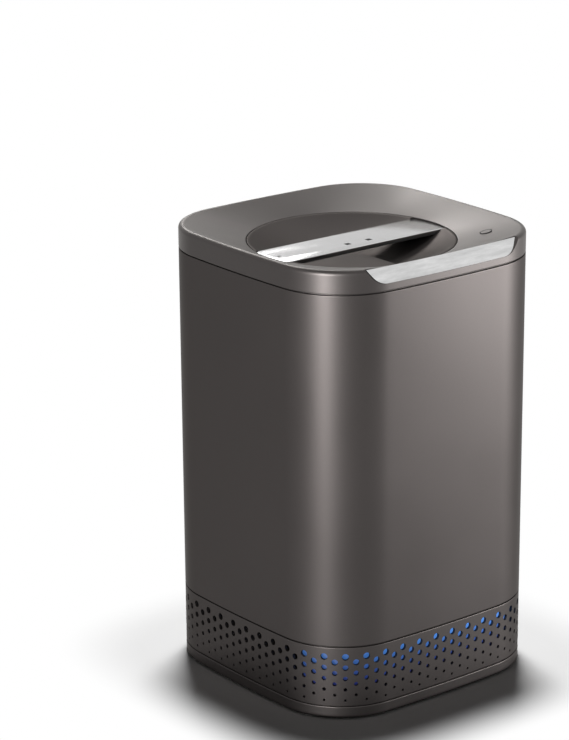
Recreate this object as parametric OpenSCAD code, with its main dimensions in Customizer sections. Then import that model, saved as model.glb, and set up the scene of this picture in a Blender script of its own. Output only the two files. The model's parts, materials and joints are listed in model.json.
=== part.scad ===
// Electric food waste composter: a square pillar with round corners, a round lift-off lid with a
// bar handle, a lift-out bin with a geared agitator, and a carbon filter box that slides out behind.
// Millimetres, +Z up, front at -Y, origin on the floor under the middle of the body.

/* [Casing] */
// Width of the body at the middle of its sides
body_w = 240; // [230:1:260]
// Depth of the body at the middle of its sides
body_d = 240; // [232:1:260]
// Radius of the four upright corners
corner_r = 62; // [50:1:70]
// Radius of the gently bowed sides
side_r = 1200; // [900:10:2000]
// Wall of the casing pieces
wall = 2.5; // [2:0.1:3]
// Height of the shadow gap at each casing seam
seam_h = 0.8; // [0.5:0.1:1.2]
// Depth of the shadow gap
seam_d = 1; // [0.6:0.1:1.4]
// Thickness of the locating tongue at each seam
tongue_t = 2; // [1.5:0.1:2.5]
// Reach of the tongue above or below its seam
tongue_h = 4; // [3:0.5:5]
// Clearance between a tongue and the wall around it
casing_gap = 0.15; // [0.1:0.05:0.3]

/* [Heights] */
// Rubber feet, below the skirt
foot_h = 5; // [4:0.5:7]
// Skirt of the base tray
skirt_h = 6; // [5:0.5:8]
// Perforated band
vent_h = 52; // [50:1:58]
// Plain sleeve
shell_h = 294.5; // [290:0.5:310]
// Collar, from its seam to the rim
collar_h = 19.5; // [18:0.5:22]

/* [Collar] */
// Radius of the round opening
opening_r = 86.4; // [85.8:0.1:88]
// Fall of the funnel from the rim to the lid
funnel_fall = 12.1; // [10:0.1:13]
// Rounding of the rim's outer edge
rim_r = 3.5; // [2.5:0.1:4]
// Flat top of the rim
rim_flat = 0.8; // [0.5:0.1:1.2]
// Width of the ledge under the lid's seal
ledge_w = 4.9; // [4:0.1:5]
// Thickness of the ledge
ledge_t = 2; // [1.5:0.1:3]
// Half width of the lip at the rim
lip_top_w = 74; // [66:1:78]
// Half width of the lip at its lower edge
lip_low_w = 67; // [58:1:72]
// Height of the lip's slope
lip_h = 12.5; // [10:0.5:13]
// Depth of the lip's slope
lip_d = 6; // [4:0.5:7]
// Radius of the lip's lower corners
lip_r = 9; // [6:0.5:10]
// Thickness of the lip trim
lip_t = 1.6; // [1.2:0.1:2]

/* [Power key] */
// Radius of the key
key_r = 5; // [4:0.1:6]
// Distance of the key from the middle of the body
key_dist = 109.5; // [108:0.5:112]
// Clearance between the key's board and the boss of the corner post
key_post_gap = 0.36; // [0.2:0.02:3]
// Travel of the key
key_travel = 1; // [0.6:0.1:1.2]
// Clearance round the key
key_gap = 0.15; // [0.1:0.05:0.3]

/* [Vent band] */
// Columns of holes in a quarter of the outline
vent_columns = 12; // [10:1:12]
// Rows of holes, counting both staggered sets
vent_rows = 9; // [7:1:9]
// Radius of the top holes
vent_top_r = 2.9; // [2:0.1:3.1]
// Radius of the bottom holes
vent_low_r = 1.1; // [0.8:0.1:1.6]
// Height between neighbouring rows
vent_pitch = 4.75; // [4.5:0.05:5]
// Top row below the top of the band
vent_drop = 8; // [7.5:0.5:9]

/* [Lid] */
// Clearance between the lid and the opening
lid_gap = 0.6; // [0.4:0.1:0.8]
// Height of the lid's edge above its seal
lid_edge = 11; // [9:0.5:12]
// Thickness of the lid's seal
seal_t = 2; // [1.5:0.1:2.5]
// Depth of the plug below the seal
plug_h = 14.9; // [14:0.1:16]
// Clearance of the plug in the ledge
plug_gap = 1; // [0.6:0.1:1.5]
// Thickness of the lid's inner cover
liner_t = 3; // [2:0.5:3.5]
// Radius of the dish in the lid
dish_r = 84; // [80:0.5:84.5]
// Depth of the dish
dish_depth = 20; // [16:0.5:21]
// Width of the bar handle
bar_w = 41; // [34:1:44]
// Thickness of the bar
bar_t = 4; // [3:0.5:5]
// Top of the bar below the top of the lid
bar_drop = 0.7; // [0.5:0.1:1.2]

/* [Bin] */
// Outer radius of the bin
bin_r = 76; // [72:0.5:77]
// Wall of the bin
bin_wall = 1.5; // [1:0.1:2]
// Room between the bin's rim and the lid's inner cover
bin_headroom = 14; // [12:0.5:30]
// Reach of the bin's rim beyond its wall
bin_rim = 3.5; // [2:0.5:4]
// Height of the foot ring under the bin
bin_foot_h = 12; // [12:0.5:14]
// Clear height of the bin's floor above the stirrer's lowest arms
arm_gap = 3.5; // [3:0.5:6]
// Height of a stirrer arm
arm_h = 8; // [6:0.5:9]
// Height between stirrer arms
arm_pitch = 27; // [26:0.5:32]
// Clearance between the arms and the bin's wall
arm_tip_gap = 2.5; // [2:0.5:5]
// Reach of a breaker bar from the wall
breaker_l = 44; // [30:1:48]

/* [Well] */
// Clearance between the bin's rim and the well
bin_gap = 2.5; // [2:0.1:3]
// Wall of the well
well_t = 1.5; // [1:0.1:2]
// Width of the well's flange
flange_w = 15; // [13:0.5:16]
// Height of the well's floor above the gearbox cover
heater_room = 9.5; // [8:0.5:12]
// Thickness of the heater ring
heater_t = 4; // [3:0.5:5]

/* [Drive] */
// Teeth of both pinions
pinion_teeth = 14; // [14:1:14]
// Teeth of both large gears
wheel_teeth = 42; // [42:1:42]
// Module of the slow pair
slow_module = 1.5; // [1.4:0.1:1.6]
// Module of the fast pair
fast_module = 1; // [0.9:0.1:1]
// Pressure angle
pressure_angle = 25; // [25:1:25]
// Gap between meshing teeth
backlash = 0.3; // [0.2:0.05:0.4]
// Face width of the slow pair
slow_face = 12; // [10:0.5:12]
// Face width of the fast pair
fast_face = 8; // [6:0.5:8]
// Direction from the idler to the motor
motor_angle = -60; // [-75:1:-50]
// Radius of the output shaft
shaft_r = 6; // [5:0.1:6]
// Radius of the idler's pin
pin_r = 3; // [2.5:0.1:3.5]
// Radius of the motor's shaft
motor_shaft_r = 2.5; // [2:0.1:3]
// Radial clearance of a running fit
run_fit = 0.06; // [0.03:0.01:0.08]
// Radius of the motor
motor_r = 20; // [18:0.5:22]
// Thickness of the deck
deck_t = 3; // [2:0.5:4]
// Wall of the gearbox
gearbox_wall = 2.5; // [2:0.1:3]

/* [Air path] */
// Width of the filter box
filter_w = 80; // [70:1:84]
// Height of the filter box
filter_h = 140; // [120:1:145]
// Height of the filter box above the deck
filter_rise = 90; // [85:1:95]
// Wall of the ducts
duct_t = 1.6; // [1.2:0.1:2]
// Clearance of the filter box in its sleeve
slide_gap = 0.5; // [0.4:0.1:0.8]
// Radius of the fan wheel
fan_r = 26; // [22:0.5:27]
// Height of the fan wheel
fan_h = 18; // [14:0.5:19]
// Blades of the fan wheel
fan_blades = 24; // [18:1:28]

/* [Hidden] */
$fn = 96;

// Heights of the casing seams
skirt_z = foot_h;
vent_z = skirt_z + skirt_h;
shell_z = vent_z + vent_h;
collar_z = shell_z + shell_h;
rim_z = collar_z + collar_h;
lid_z = rim_z - funnel_fall;

// Centres of the corner arcs and of the side arcs of the outline
bow_x = side_r - body_w / 2;
bow_y = side_r - body_d / 2;
corner_q = side_r - corner_r;
bow_l = norm([bow_x, bow_y]);
corner_k = sqrt(corner_q * corner_q - bow_l * bow_l / 4) / bow_l;
corner_x = corner_k * bow_y - bow_x / 2;
corner_y = corner_k * bow_x - bow_y / 2;
// Directions in which the corner arc starts and ends
corner_a = atan2(corner_y, corner_x + bow_x);
corner_b = atan2(corner_y + bow_y, corner_x);

// Collar and ledge
ledge_r = opening_r - ledge_w;
ledge_z = lid_z - lid_edge - seal_t;
throat_r = opening_r + wall;
collar_low_z = ledge_z - ledge_t;
tongue_inset = wall + casing_gap;
inner_inset = tongue_inset + tongue_t;
lip_slope = atan2(lip_d, lip_h);
post_x = corner_x + 27;
post_y = corner_y + 27;
post_r = 4;
boss_r = 7;
tie_head_r = 3.8;
tie_head_sink = 2.5;
tie_sink_r = 4.2;
tie_grip = 12;
tie_hole_l = 14;
tie_stud_l = 11;
tie_end_gap = 1;
screw_r = 1.5;
screw_head_r = 3;
screw_head_h = 2.2;
screw_fit = 0.1;
tie_r = 2;

// Key, beside the front right post, and the funnel there
key_board_l = 22;
key_board_w = 10;
key_board_t = 1.6;
key_side = boss_r + key_board_w / 2 + key_post_gap;
key_angle = asin(key_side / norm([post_x, post_y])) - atan2(post_y, post_x);
key_rim = rim_reach(key_angle, rim_r + rim_flat);
key_slope = atan2(funnel_fall, key_rim - opening_r);
key_z = funnel_at(key_angle, key_dist);
key_h = 5;
key_switch_h = 3;
key_switch_w = 6;
key_play = 0.4;
key_lift = 0.2;
key_stem_r = 2;
key_leg_r = 1.6;
key_leg_inset = 2;
key_board_top = -key_h - key_switch_h - key_travel - key_play;

// Lid
lid_r = opening_r - lid_gap;
seal_z = lid_z - lid_edge - seal_t;
plug_r = ledge_r - plug_gap;
plug_z = lid_z - lid_edge - plug_h;
liner_r = plug_r - 1.5;
liner_z = plug_z - liner_t;
bar_top = lid_z - bar_drop;
bar_z = bar_top - bar_t;
bar_r = lid_r - 0.5;
bar_fit = 0.1;
lid_screw_x = plug_r - 5;
lid_screw_rise = 4;
lid_screw_grip = 2.4;
lid_round = 0.7;
lid_sides = 96;
dish_rings = 16;
magnet_r = 5;
magnet_t = 2.5;
magnet_a = -75;
magnet_dist = plug_r - 8;
sensor_w = 16;
sensor_h = 5;
sensor_t = 1.6;
sensor_chip_w = 6;
sensor_chip_h = 3;
sensor_chip_t = 2;
liner_groove_r = liner_r - 8;
liner_groove_w = 4;
liner_groove_h = 1;

// Well and bin
bin_rim_r = bin_r + bin_rim;
well_r = bin_rim_r + bin_gap;
flange_r = well_r + flange_w;
flange_t = 1.5;
flange_screw_dist = flange_r - 5;
flange_screw_l = 7;
flange_pad_r = 3.5;
throat_drop = 3;
deck_z = shell_z - deck_t;
gearbox_z = shell_z;
gearbox_floor = gearbox_z + gearbox_wall;
fast_rise = 3.5;
gear_step = 5;
gear_room = 6;
fast_z = gearbox_floor + fast_rise;
slow_z = fast_z + fast_face + gear_step;
gearbox_top = slow_z + slow_face + gear_room;
gearbox_lid_t = 3;
cover_z = gearbox_top + gearbox_lid_t;
well_z = cover_z + heater_room;
well_floor = well_z + well_t;
heater_r = well_r - 14;
heater_inner_r = shaft_r + 20;
heater_hole_r = 4;
bin_z = well_floor + bin_foot_h;
bin_floor = bin_z + bin_wall;
bin_top = liner_z - bin_headroom;
bin_inner_r = bin_r - bin_wall;
bin_rim_t = 1.5;
foot_ring_inset = 5;
foot_ring_t = 3;
bush_r = 9;
bush_flange_r = 12;
bush_flange_t = 2.5;
seal_ring_h = 2.3;
seal_ring_r = 11;
thermostat_a = -30;
thermostat_r = 8;
thermostat_l = 9;
thermostat_sink = 3;
thermostat_rise = 30;
tab_l = 5;
tab_w = 3;
tab_t = 2;
socket_r = 12;
socket_z = well_floor + seal_ring_h + 0.5;
socket_h = 6.2;
socket_top = socket_z + socket_h;
hex_gap = 0.35;
hex_end_gap = 0.3;
hex_top = socket_z + socket_h - 2;
bush_z = socket_top + 0.5;
hub_z = bin_floor + bush_flange_t + 0.3;
hub_r = 11;
arm_z = hub_z + arm_gap - 2.5;
arm_count = 4;
arm_r = bin_inner_r - arm_tip_gap;
arm_front = 7;
arm_back = 6;
arm_edge = 1.2;
arm_crest = 1;
hub_top = arm_z + arm_pitch * (arm_count - 1) + arm_h + 30;
breaker_h = 8;
breaker_w = 10;
breaker_top_w = 3;
bail_r = 2;
bail_ring_r = bin_r + 0.5;
bail_rise = 4.5;
bail_hook_l = 6;
bail_z = bin_top + bail_rise;
ear_h = 9;
ear_drop = 12;
ear_w = 9;
ear_t = 1.5;

// Gears
slow_dist = slow_module * (pinion_teeth + wheel_teeth) / 2;
fast_dist = fast_module * (pinion_teeth + wheel_teeth) / 2;
idler_x = -slow_dist;
motor_x = idler_x + fast_dist * cos(motor_angle);
motor_y = fast_dist * sin(motor_angle);
idler_slow_turn = mesh_turn(180, 0, wheel_teeth, pinion_teeth);
motor_turn = mesh_turn(motor_angle, 0, wheel_teeth, pinion_teeth);
slow_tip = slow_module * (wheel_teeth / 2 + 1);
fast_tip = fast_module * (wheel_teeth / 2 + 1);
tooth_gap = 4;
case_r = slow_tip + tooth_gap;
case_idler_r = fast_tip + tooth_gap;
case_motor_r = fast_module * (pinion_teeth / 2 + 1) + tooth_gap;
lug_r = 4.5;
lug_rise = 2.6;
shaft_rise = 0.5;
web_inset = 6;
web_depth = 3;
gear_hub_t = 5;
idler_hub_r = 8;
pin_collar_r = 6;
pin_collar_gap = 0.3;
cover_hub_t = 4;
cover_spigot_t = 2;
cover_spigot_h = 3;
cover_flat = 8;
pinion_lap = 0.5;
pinion_end = 1.5;
motor_neck_t = 4;
motor_spigot_r = 8.8;
motor_neck_h = 3;
motor_rise = 8;
motor_cap_inset = 8;
motor_cap_drop = 5;
motor_pin_dist = 5;
motor_pin_l = 4;
motor_shaft_drop = 9;

// Filter, ducts and fan, behind the well
rear_y = body_d / 2;
filter_z = shell_z + filter_rise;
filter_top = filter_z + filter_h;
sleeve_w = filter_w + 2 * duct_t;
sleeve_y = well_r + well_t + 2;
sleeve_end = rear_y - wall - 1.7;
window_w = filter_w + 2 * slide_gap;
window_h = filter_h - 2;
drawer_w = filter_w - 2 * slide_gap;
pull_w = 44;
pull_h = 20;
pull_d = 9;
pull_drop = 12;
drawer_t = 1.5;
window_rise = 1;
cartridge_inset = 2;
rib_pitch = 8;
rib_gap = 4;
rib_depth = 5;
rib_margin = 3;
port_w = 60;
port_edge = 4;
port_back = 10;
duct_drop = 3;
duct_reach = 18;
duct_h = 16;
duct_lap = 2;
duct_gap = 0.3;
exhaust_w = 32;
duct_end = rear_y - inner_inset - side_fall(exhaust_w) - duct_gap;
fan_y = 72;
fan_gap = 4;
fan_z = 28;
fan_case_h = deck_z - fan_z;
fan_case_r = fan_r + fan_gap + duct_t;
fan_eye_r = fan_r - 6;
fan_foot_r = 5;
fan_rise = 7;
fan_plate_t = 1.5;
fan_hub_r = 12;
fan_cup_r = 10;
fan_blade_l = 5.5;
fan_blade_t = 1;
fan_blade_turn = 25;
fan_rim_t = 1.2;
fan_rim_w = 3;
fan_shaft_r = 1.5;
fan_motor_r = 9.4;
fan_outlet_x = fan_r - 14;
fan_outlet_l = 30;
fan_outlet_h = fan_r + 2 * fan_gap - 1;
grille_a = 72;
grille_w = 44;
grille_h = 16;
grille_z = bin_top + 6;
grille_reach = 6;
grille_fit = 0.1;
grille_bars = 6;
grille_slot_w = 4.8;
grille_frame = 2;

// Electrics
board_w = 92;
board_d = 46;
board_t = 1.6;
board_z = skirt_z + 18;
board_y = -body_d / 2 + inner_inset + 4;
board_post_inset = 4;
board_post_r = 3;
board_clip_r = 2.6;
board_clip_h = 1.5;
led_end = 8.4;
led_w = 2 * (corner_x + led_end);
led_h = 10;
led_t = 1.2;
led_chip_w = 5;
guide_h = 34;
guide_t = 1.5;
guide_fit = 0.3;
guide_end = 8;
guide_depth = 12;
led_inset = inner_inset + 4.5;
inlet_w = 28;
inlet_h = 20;
inlet_d = 22;
inlet_lug = 3;
inlet_gap = 0.2;
inlet_rim = 2;
inlet_deep = 16;
inlet_inset = 0.5;
inlet_flange_d = 5;
pin_back = 5;
pin_rise = 2;
pin_pitch = 7;
pin_w = 2;
pin_h = 5;
inlet_x = -exhaust_w - inlet_lug - inlet_w / 2 - 1;
inlet_z = shell_z + 30;
foot_x = body_w / 2 - 18;
foot_y = body_d / 2 - 44;
foot_r = 10;
foot_stud_r = 3;
floor_t = 3;
deck_fit = 0.5;
cable_hole_x = 75;
cable_hole_r = 8;
slot_pitch = 9;
slot_w = 3;
slot_l = 36;
motor_low = skirt_z + floor_t + motor_rise;

taupe = [0.35, 0.33, 0.32];
collar_taupe = [0.55, 0.53, 0.51];
silver = [0.86, 0.86, 0.85];
dark = [0.12, 0.12, 0.13];
steel = [0.62, 0.63, 0.65];
nylon = [0.9, 0.88, 0.82];

// Turn that puts a gap of the follower opposite a tooth of the leader
function mesh_turn(line, turn, lead, follow) =
    line + 180 - (0.5 - (line - turn) * lead / 360) * 360 / follow;

// Fall of a bowed side at a distance from its middle
function side_fall(x) = side_r - sqrt(side_r * side_r - x * x);

// Distance from the middle to the outline at a direction that meets a corner arc
function rim_reach(a, inset) =
    let (
        along = abs(cos(a)) * corner_x + abs(sin(a)) * corner_y,
        r = corner_r - inset
    )
    along + sqrt(along * along - corner_x * corner_x - corner_y * corner_y + r * r);

// Height of the funnel at a direction that meets a corner arc and a distance from the middle
function funnel_at(a, dist) =
    lid_z + (dist - opening_r) * funnel_fall / (rim_reach(a, rim_r + rim_flat) - opening_r);

// Points of an arc, without its last one
function arc_points(x, y, r, a, b, n) = [
    for (i = [0 : n - 1])
        let (t = a + (b - a) * i / n)
        [x + r * cos(t), y + r * sin(t)]
];

// The outline as a polygon, counter-clockwise, for the blended surfaces of the collar
function outline_points(inset, side_n = 6, corner_n = 12) =
    let (s = side_r - inset, c = corner_r - inset)
    concat(
        arc_points(-bow_x, 0, s, -corner_a, corner_a, side_n),
        arc_points(corner_x, corner_y, c, corner_a, corner_b, corner_n),
        arc_points(0, -bow_y, s, corner_b, 180 - corner_b, side_n),
        arc_points(-corner_x, corner_y, c, 180 - corner_b, 180 - corner_a, corner_n),
        arc_points(bow_x, 0, s, 180 - corner_a, 180 + corner_a, side_n),
        arc_points(-corner_x, -corner_y, c, 180 + corner_a, 180 + corner_b, corner_n),
        arc_points(0, bow_y, s, 180 + corner_b, 360 - corner_b, side_n),
        arc_points(corner_x, -corner_y, c, 360 - corner_b, 360 - corner_a, corner_n)
    );

// The same directions as a polygon, on a circle
function ring_points(points, r) = [for (p = points) p * r / norm(p)];

function lift(points, z) = [for (p = points) [p[0], p[1], z]];

// Solid skinned over rings of equal point counts, from the lowest ring to the highest
module skin(rings) {
    n = len(rings[0]);
    m = len(rings);
    polyhedron(
        points = [for (ring = rings) each ring],
        faces = concat(
            [[for (i = [0 : n - 1]) i]],
            [[for (i = [n - 1 : -1 : 0]) (m - 1) * n + i]],
            [for (k = [0 : m - 2], i = [0 : n - 1]) [k * n + i, (k + 1) * n + i, k * n + (i + 1) % n]],
            [for (k = [0 : m - 2], i = [0 : n - 1])
                [(k + 1) * n + i, (k + 1) * n + (i + 1) % n, k * n + (i + 1) % n]]
        ),
        convexity = 6
    );
}

// Region outside a corner arc, between the directions in which it starts and ends
module corner_wedge() {
    u = 2 * corner_r / corner_q;
    start = [corner_x + bow_x, corner_y] * u;
    end = [corner_x, corner_y + bow_y] * u;
    polygon([[0, 0], start, start + end, end]);
}

// Plan of the body: four bowed sides and four corner arcs that meet them without a kink
module outline(inset) {
    difference() {
        intersection() {
            for_side(1, 0, inset);
            for_side(-1, 0, inset);
            for_side(0, 1, inset);
            for_side(0, -1, inset);
        }
        for (mx = [0, 1], my = [0, 1])
            mirror([mx, 0]) mirror([0, my]) translate([corner_x, corner_y]) corner_wedge();
    }
    for (sx = [-1, 1], sy = [-1, 1])
        translate([sx * corner_x, sy * corner_y]) circle(corner_r - inset);
}

// Disc whose edge is one bowed side
module for_side(x, y, inset) {
    translate([-x * bow_x, -y * bow_y]) circle(side_r - inset, $fn = 720);
}

// Upright band of the outline between two insets
module band(z, h, outer, inner) {
    translate([0, 0, z]) linear_extrude(h) difference() {
        outline(outer);
        outline(inner);
    }
}

module ring(z, h, outer, inner) {
    translate([0, 0, z]) difference() {
        cylinder(r = outer, h = h);
        translate([0, 0, -1]) cylinder(r = inner, h = h + 2);
    }
}

module rod(z, top, r) {
    translate([0, 0, z]) cylinder(r = r, h = top - z);
}

module at_posts() {
    for (sx = [-1, 1], sy = [-1, 1]) translate([sx * post_x, sy * post_y]) children();
}

module at_angles(list, dist) {
    for (a = list) rotate(a) translate([dist, 0]) children();
}

module at_flange_screws() {
    at_angles([15 : 60 : 315], flange_screw_dist) children();
}

// Block given by its two corners
module block(low, high) {
    translate(low) cube(high - low);
}

// Pan head screw pointing up, its head below z
module pan_screw(z, length, r = screw_r, head_r = screw_head_r, head_h = screw_head_h) {
    rod(z, z + length, r);
    difference() {
        rod(z - head_h, z, head_r);
        translate([0, 0, z - head_h - 1]) cylinder(r = r, h = 2, $fn = 6);
    }
}

// Involute gear outline
function involute(base, t) = [
    base * (cos(t) + t * PI / 180 * sin(t)),
    base * (sin(t) - t * PI / 180 * cos(t))
];
function spun(p, a) = [p[0] * cos(a) - p[1] * sin(a), p[0] * sin(a) + p[1] * cos(a)];
function roll_at(base, r) = sqrt(max(0, r * r / (base * base) - 1)) * 180 / PI;

function flank(m, teeth, steps = 4) =
    let (
        pitch = m * teeth / 2,
        base = pitch * cos(pressure_angle),
        tip = pitch + m,
        root = max(base, pitch - 1.15 * m),
        half = 90 / teeth - backlash / 2 / pitch * 90 / PI,
        at_pitch = roll_at(base, pitch),
        p = involute(base, at_pitch),
        lead = atan2(p[1], p[0]),
        first = roll_at(base, root),
        last = roll_at(base, tip)
    )
    [for (i = [0 : steps]) spun(involute(base, first + (last - first) * i / steps), -half - lead)];

module gear(m, teeth, h, bore) {
    low = m * teeth / 2 - 1.3 * m;
    side = flank(m, teeth);
    n = len(side);
    half_root = atan2(-side[0][1], side[0][0]);
    tooth = concat(
        [[low * cos(half_root), -low * sin(half_root)]],
        side,
        [for (i = [n - 1 : -1 : 0]) [side[i][0], -side[i][1]]],
        [[low * cos(half_root), low * sin(half_root)]]
    );
    linear_extrude(h) difference() {
        polygon([for (k = [0 : teeth - 1]) each [for (p = tooth) spun(p, k * 360 / teeth)]]);
        circle(bore);
    }
}

// Casing

module outer_shell() {
    color(taupe) difference() {
        union() {
            band(shell_z + seam_h, shell_h - seam_h, 0, wall);
            band(shell_z, seam_h + 1, seam_d, wall);
        }
        block(
            [-window_w / 2, rear_y - 12, filter_z + window_rise],
            [window_w / 2, rear_y + 5, filter_z + window_rise + window_h]
        );
        block(
            [inlet_x - inlet_w / 2, rear_y - 12, inlet_z - inlet_h / 2],
            [inlet_x + inlet_w / 2, rear_y + 5, inlet_z + inlet_h / 2]
        );
    }
}

// Outer form of the collar with its rounded rim, filled
module collar_block() {
    rounds = 4;
    skin(concat(
        [lift(outline_points(0), collar_z + seam_h)],
        [for (k = [0 : rounds])
            let (a = 90 * k / rounds)
            lift(outline_points(rim_r * (1 - cos(a))), rim_z - rim_r + rim_r * sin(a))]
    ));
}

// Space above a funnel that lies a given depth under the visible one
module funnel(depth) {
    top = outline_points(rim_r + rim_flat);
    grow = 1.5;
    slope_x = body_w / 2 - rim_r - rim_flat - opening_r;
    skin([
        lift(ring_points(top, opening_r - grow), lid_z - depth - grow * funnel_fall / slope_x),
        lift(top, rim_z - depth),
        lift(top, rim_z + grow),
    ]);
}

// Side view of the lip trim, across the slope
module lip_shape(grow) {
    w = lip_top_w - lip_low_w;
    offset(delta = grow) hull() {
        for (s = [-1, 1]) {
            translate([s * (lip_low_w - lip_r), lip_r]) circle(lip_r, $fn = 48);
            translate([s * (lip_top_w + w - 1), 2 * lip_h - 1]) square(2, center = true);
        }
    }
}

// Prism that stands on the lip's slope
module lip_prism(grow, low, high) {
    translate([0, -body_d / 2, rim_z - lip_h]) rotate([90 - lip_slope, 0, 0])
        translate([0, 0, low]) linear_extrude(high - low) lip_shape(grow);
}

module collar_form() {
    difference() {
        union() {
            collar_block();
            band(collar_z, seam_h + 1, seam_d, wall + 1);
        }
        funnel(0);
        translate([0, 0, collar_low_z - 1]) cylinder(r = opening_r, h = rim_z);
    }
}

module top_collar() {
    cavity_drop = wall + 0.4;
    color(collar_taupe) difference() {
        union() {
            difference() {
                collar_form();
                difference() {
                    translate([0, 0, collar_z - 1]) linear_extrude(collar_h) outline(wall);
                    funnel(cavity_drop);
                    translate([0, 0, collar_z - 2]) cylinder(r = throat_r, h = collar_h + 4);
                }
                lip_prism(0.1, -lip_t - wall, 20);
            }
            // Seat behind the lip trim
            intersection() {
                collar_form();
                difference() {
                    lip_prism(wall, -lip_t - 2 * wall, -lip_t);
                    translate([0, 0, collar_z - 1]) cylinder(r = opening_r, h = 2 * collar_h);
                }
            }
            // Tongue into the sleeve
            band(collar_z - tongue_h, tongue_h + 1.5, tongue_inset, inner_inset);
            band(collar_z, 3, wall - 0.5, inner_inset);
            // Throat, ledge and the pad over the well's flange
            ring(collar_low_z, lid_z - throat_drop - collar_low_z, throat_r, opening_r);
            ring(collar_low_z, ledge_t, flange_r, ledge_r);
            at_flange_screws() rod(collar_low_z, collar_z + 1, flange_pad_r);
            at_posts() rod(collar_low_z, funnel_at(45, norm([post_x, post_y]) - boss_r) - 1, boss_r);
            key_frame() for (s = [-1, 1]) translate([s * (key_board_l / 2 - key_leg_inset), 0, 0])
                rod(key_board_top, -2, key_leg_r);
        }
        key_frame() rod(-20, 5, key_r + key_gap);
        at_flange_screws()
            rod(collar_low_z - 1, collar_low_z + flange_screw_l - 0.8, screw_r + screw_fit);
        at_posts() rod(collar_low_z - 1, collar_low_z + tie_stud_l + tie_end_gap, tie_r + screw_fit);
    }
}

module front_lip() {
    color(silver) intersection() {
        collar_form();
        lip_prism(0, -lip_t, 0);
    }
}

// Frame of the key: origin on the funnel, +Z along its normal
module key_frame() {
    rotate(key_angle) translate([key_dist, 0, key_z]) rotate([0, -key_slope, 0]) children();
}

module power_key() {
    color(silver) key_frame() {
        rod(-key_h, key_lift, key_r);
        rod(-key_h - key_play / 2, -key_h + 1, key_stem_r);
    }
}

module key_board() {
    color("darkgreen") key_frame() {
        translate([0, 0, key_board_top - key_board_t / 2])
            cube([key_board_l, key_board_w, key_board_t], center = true);
        translate([0, 0, key_board_top + key_switch_h / 2])
            cube([key_switch_w, key_switch_w, key_switch_h], center = true);
    }
}

// Place on the outline at a distance along it from the middle of the +X side: x, y, normal
function outline_at(s) =
    let (
        side_x = side_r * corner_a * PI / 180,
        arc = corner_r * (corner_b - corner_a) * PI / 180
    )
    s < side_x
    ? let (a = s / side_r * 180 / PI) [side_r * cos(a) - bow_x, side_r * sin(a), a]
    : s < side_x + arc
    ? let (a = corner_a + (s - side_x) / corner_r * 180 / PI)
        [corner_x + corner_r * cos(a), corner_y + corner_r * sin(a), a]
    : let (a = corner_b + (s - side_x - arc) / side_r * 180 / PI)
        [side_r * cos(a), side_r * sin(a) - bow_y, a];

quarter_length = (side_r * (corner_a + 90 - corner_b) + corner_r * (corner_b - corner_a)) * PI / 180;
column_pitch = quarter_length / vent_columns;

module vent_holes() {
    for (row = [0 : vent_rows - 1]) {
        r = vent_top_r - (vent_top_r - vent_low_r) * row / (vent_rows - 1);
        z = shell_z - vent_drop - row * vent_pitch;
        shift = row % 2 == 0 ? 0.5 : 0;
        for (quarter = [0 : 3], k = [0 : vent_columns - 1]) {
            turned = quarter % 2;
            place = outline_at((turned == 0 ? k + shift : vent_columns - k - shift) * column_pitch);
            flip_x = quarter == 1 || quarter == 2 ? 1 : 0;
            flip_y = quarter > 1 ? 1 : 0;
            mirror([flip_x, 0]) mirror([0, flip_y])
                translate([place[0], place[1], z]) rotate([0, 90, place[2]])
                    cylinder(r = r, h = 3 * wall, center = true, $fn = 16);
        }
    }
}

module vent_band() {
    color(taupe) difference() {
        union() {
            band(vent_z + seam_h, vent_h - seam_h, 0, wall);
            band(vent_z, seam_h + 1, seam_d, wall);
            band(shell_z - 3, 3, wall - 0.5, inner_inset);
            band(shell_z - 0.5, tongue_h + 0.5, tongue_inset, inner_inset);
        }
        vent_holes();
    }
}

module base_tray() {
    color(taupe) difference() {
        union() {
            translate([0, 0, skirt_z]) linear_extrude(floor_t) outline(0);
            band(skirt_z, skirt_h, 0, inner_inset);
            band(skirt_z, skirt_h + 3, tongue_inset, inner_inset);
            at_posts() rod(skirt_z, deck_z, boss_r);
        }
        at_posts() {
            rod(skirt_z - 1, deck_z + 1, tie_r + screw_fit);
            rod(skirt_z - 1, skirt_z + tie_head_sink, tie_sink_r);
        }
        at_feet() rod(skirt_z - 1, skirt_z + floor_t + 1, foot_stud_r + screw_fit);
        for (k = [-3 : 3]) block(
            [k * slot_pitch - slot_w / 2, -slot_l / 2, skirt_z - 1],
            [k * slot_pitch + slot_w / 2, slot_l / 2, skirt_z + floor_t + 1]
        );
    }
}

module at_feet() {
    for (sx = [-1, 1], sy = [-1, 1]) translate([sx * foot_x, sy * foot_y]) children();
}

module rubber_feet() {
    color(dark) at_feet() rotate_extrude() polygon([
        [0, 0], [foot_r - 1, 0], [foot_r, 1], [foot_r, foot_h], [foot_stud_r, foot_h],
        [foot_stud_r, foot_h + floor_t], [0, foot_h + floor_t],
    ]);
}

module deck() {
    color("dimgray") difference() {
        translate([0, 0, deck_z]) linear_extrude(deck_t) outline(inner_inset + deck_fit);
        at_posts() rod(deck_z - 1, deck_z + deck_t + 1, tie_r + screw_fit);
        translate([motor_x, motor_y]) rod(deck_z - 1, deck_z + deck_t + 1, motor_spigot_r + 0.2);
        translate([0, fan_y]) rod(deck_z - 1, deck_z + deck_t + 1, fan_eye_r);
        at_gearbox_screws() rod(deck_z - 1, deck_z + deck_t + 1, screw_r + screw_fit);
        for (s = [-1, 1]) translate([s * cable_hole_x, -cable_hole_x])
            rod(deck_z - 1, deck_z + deck_t + 1, cable_hole_r);
    }
}

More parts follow.
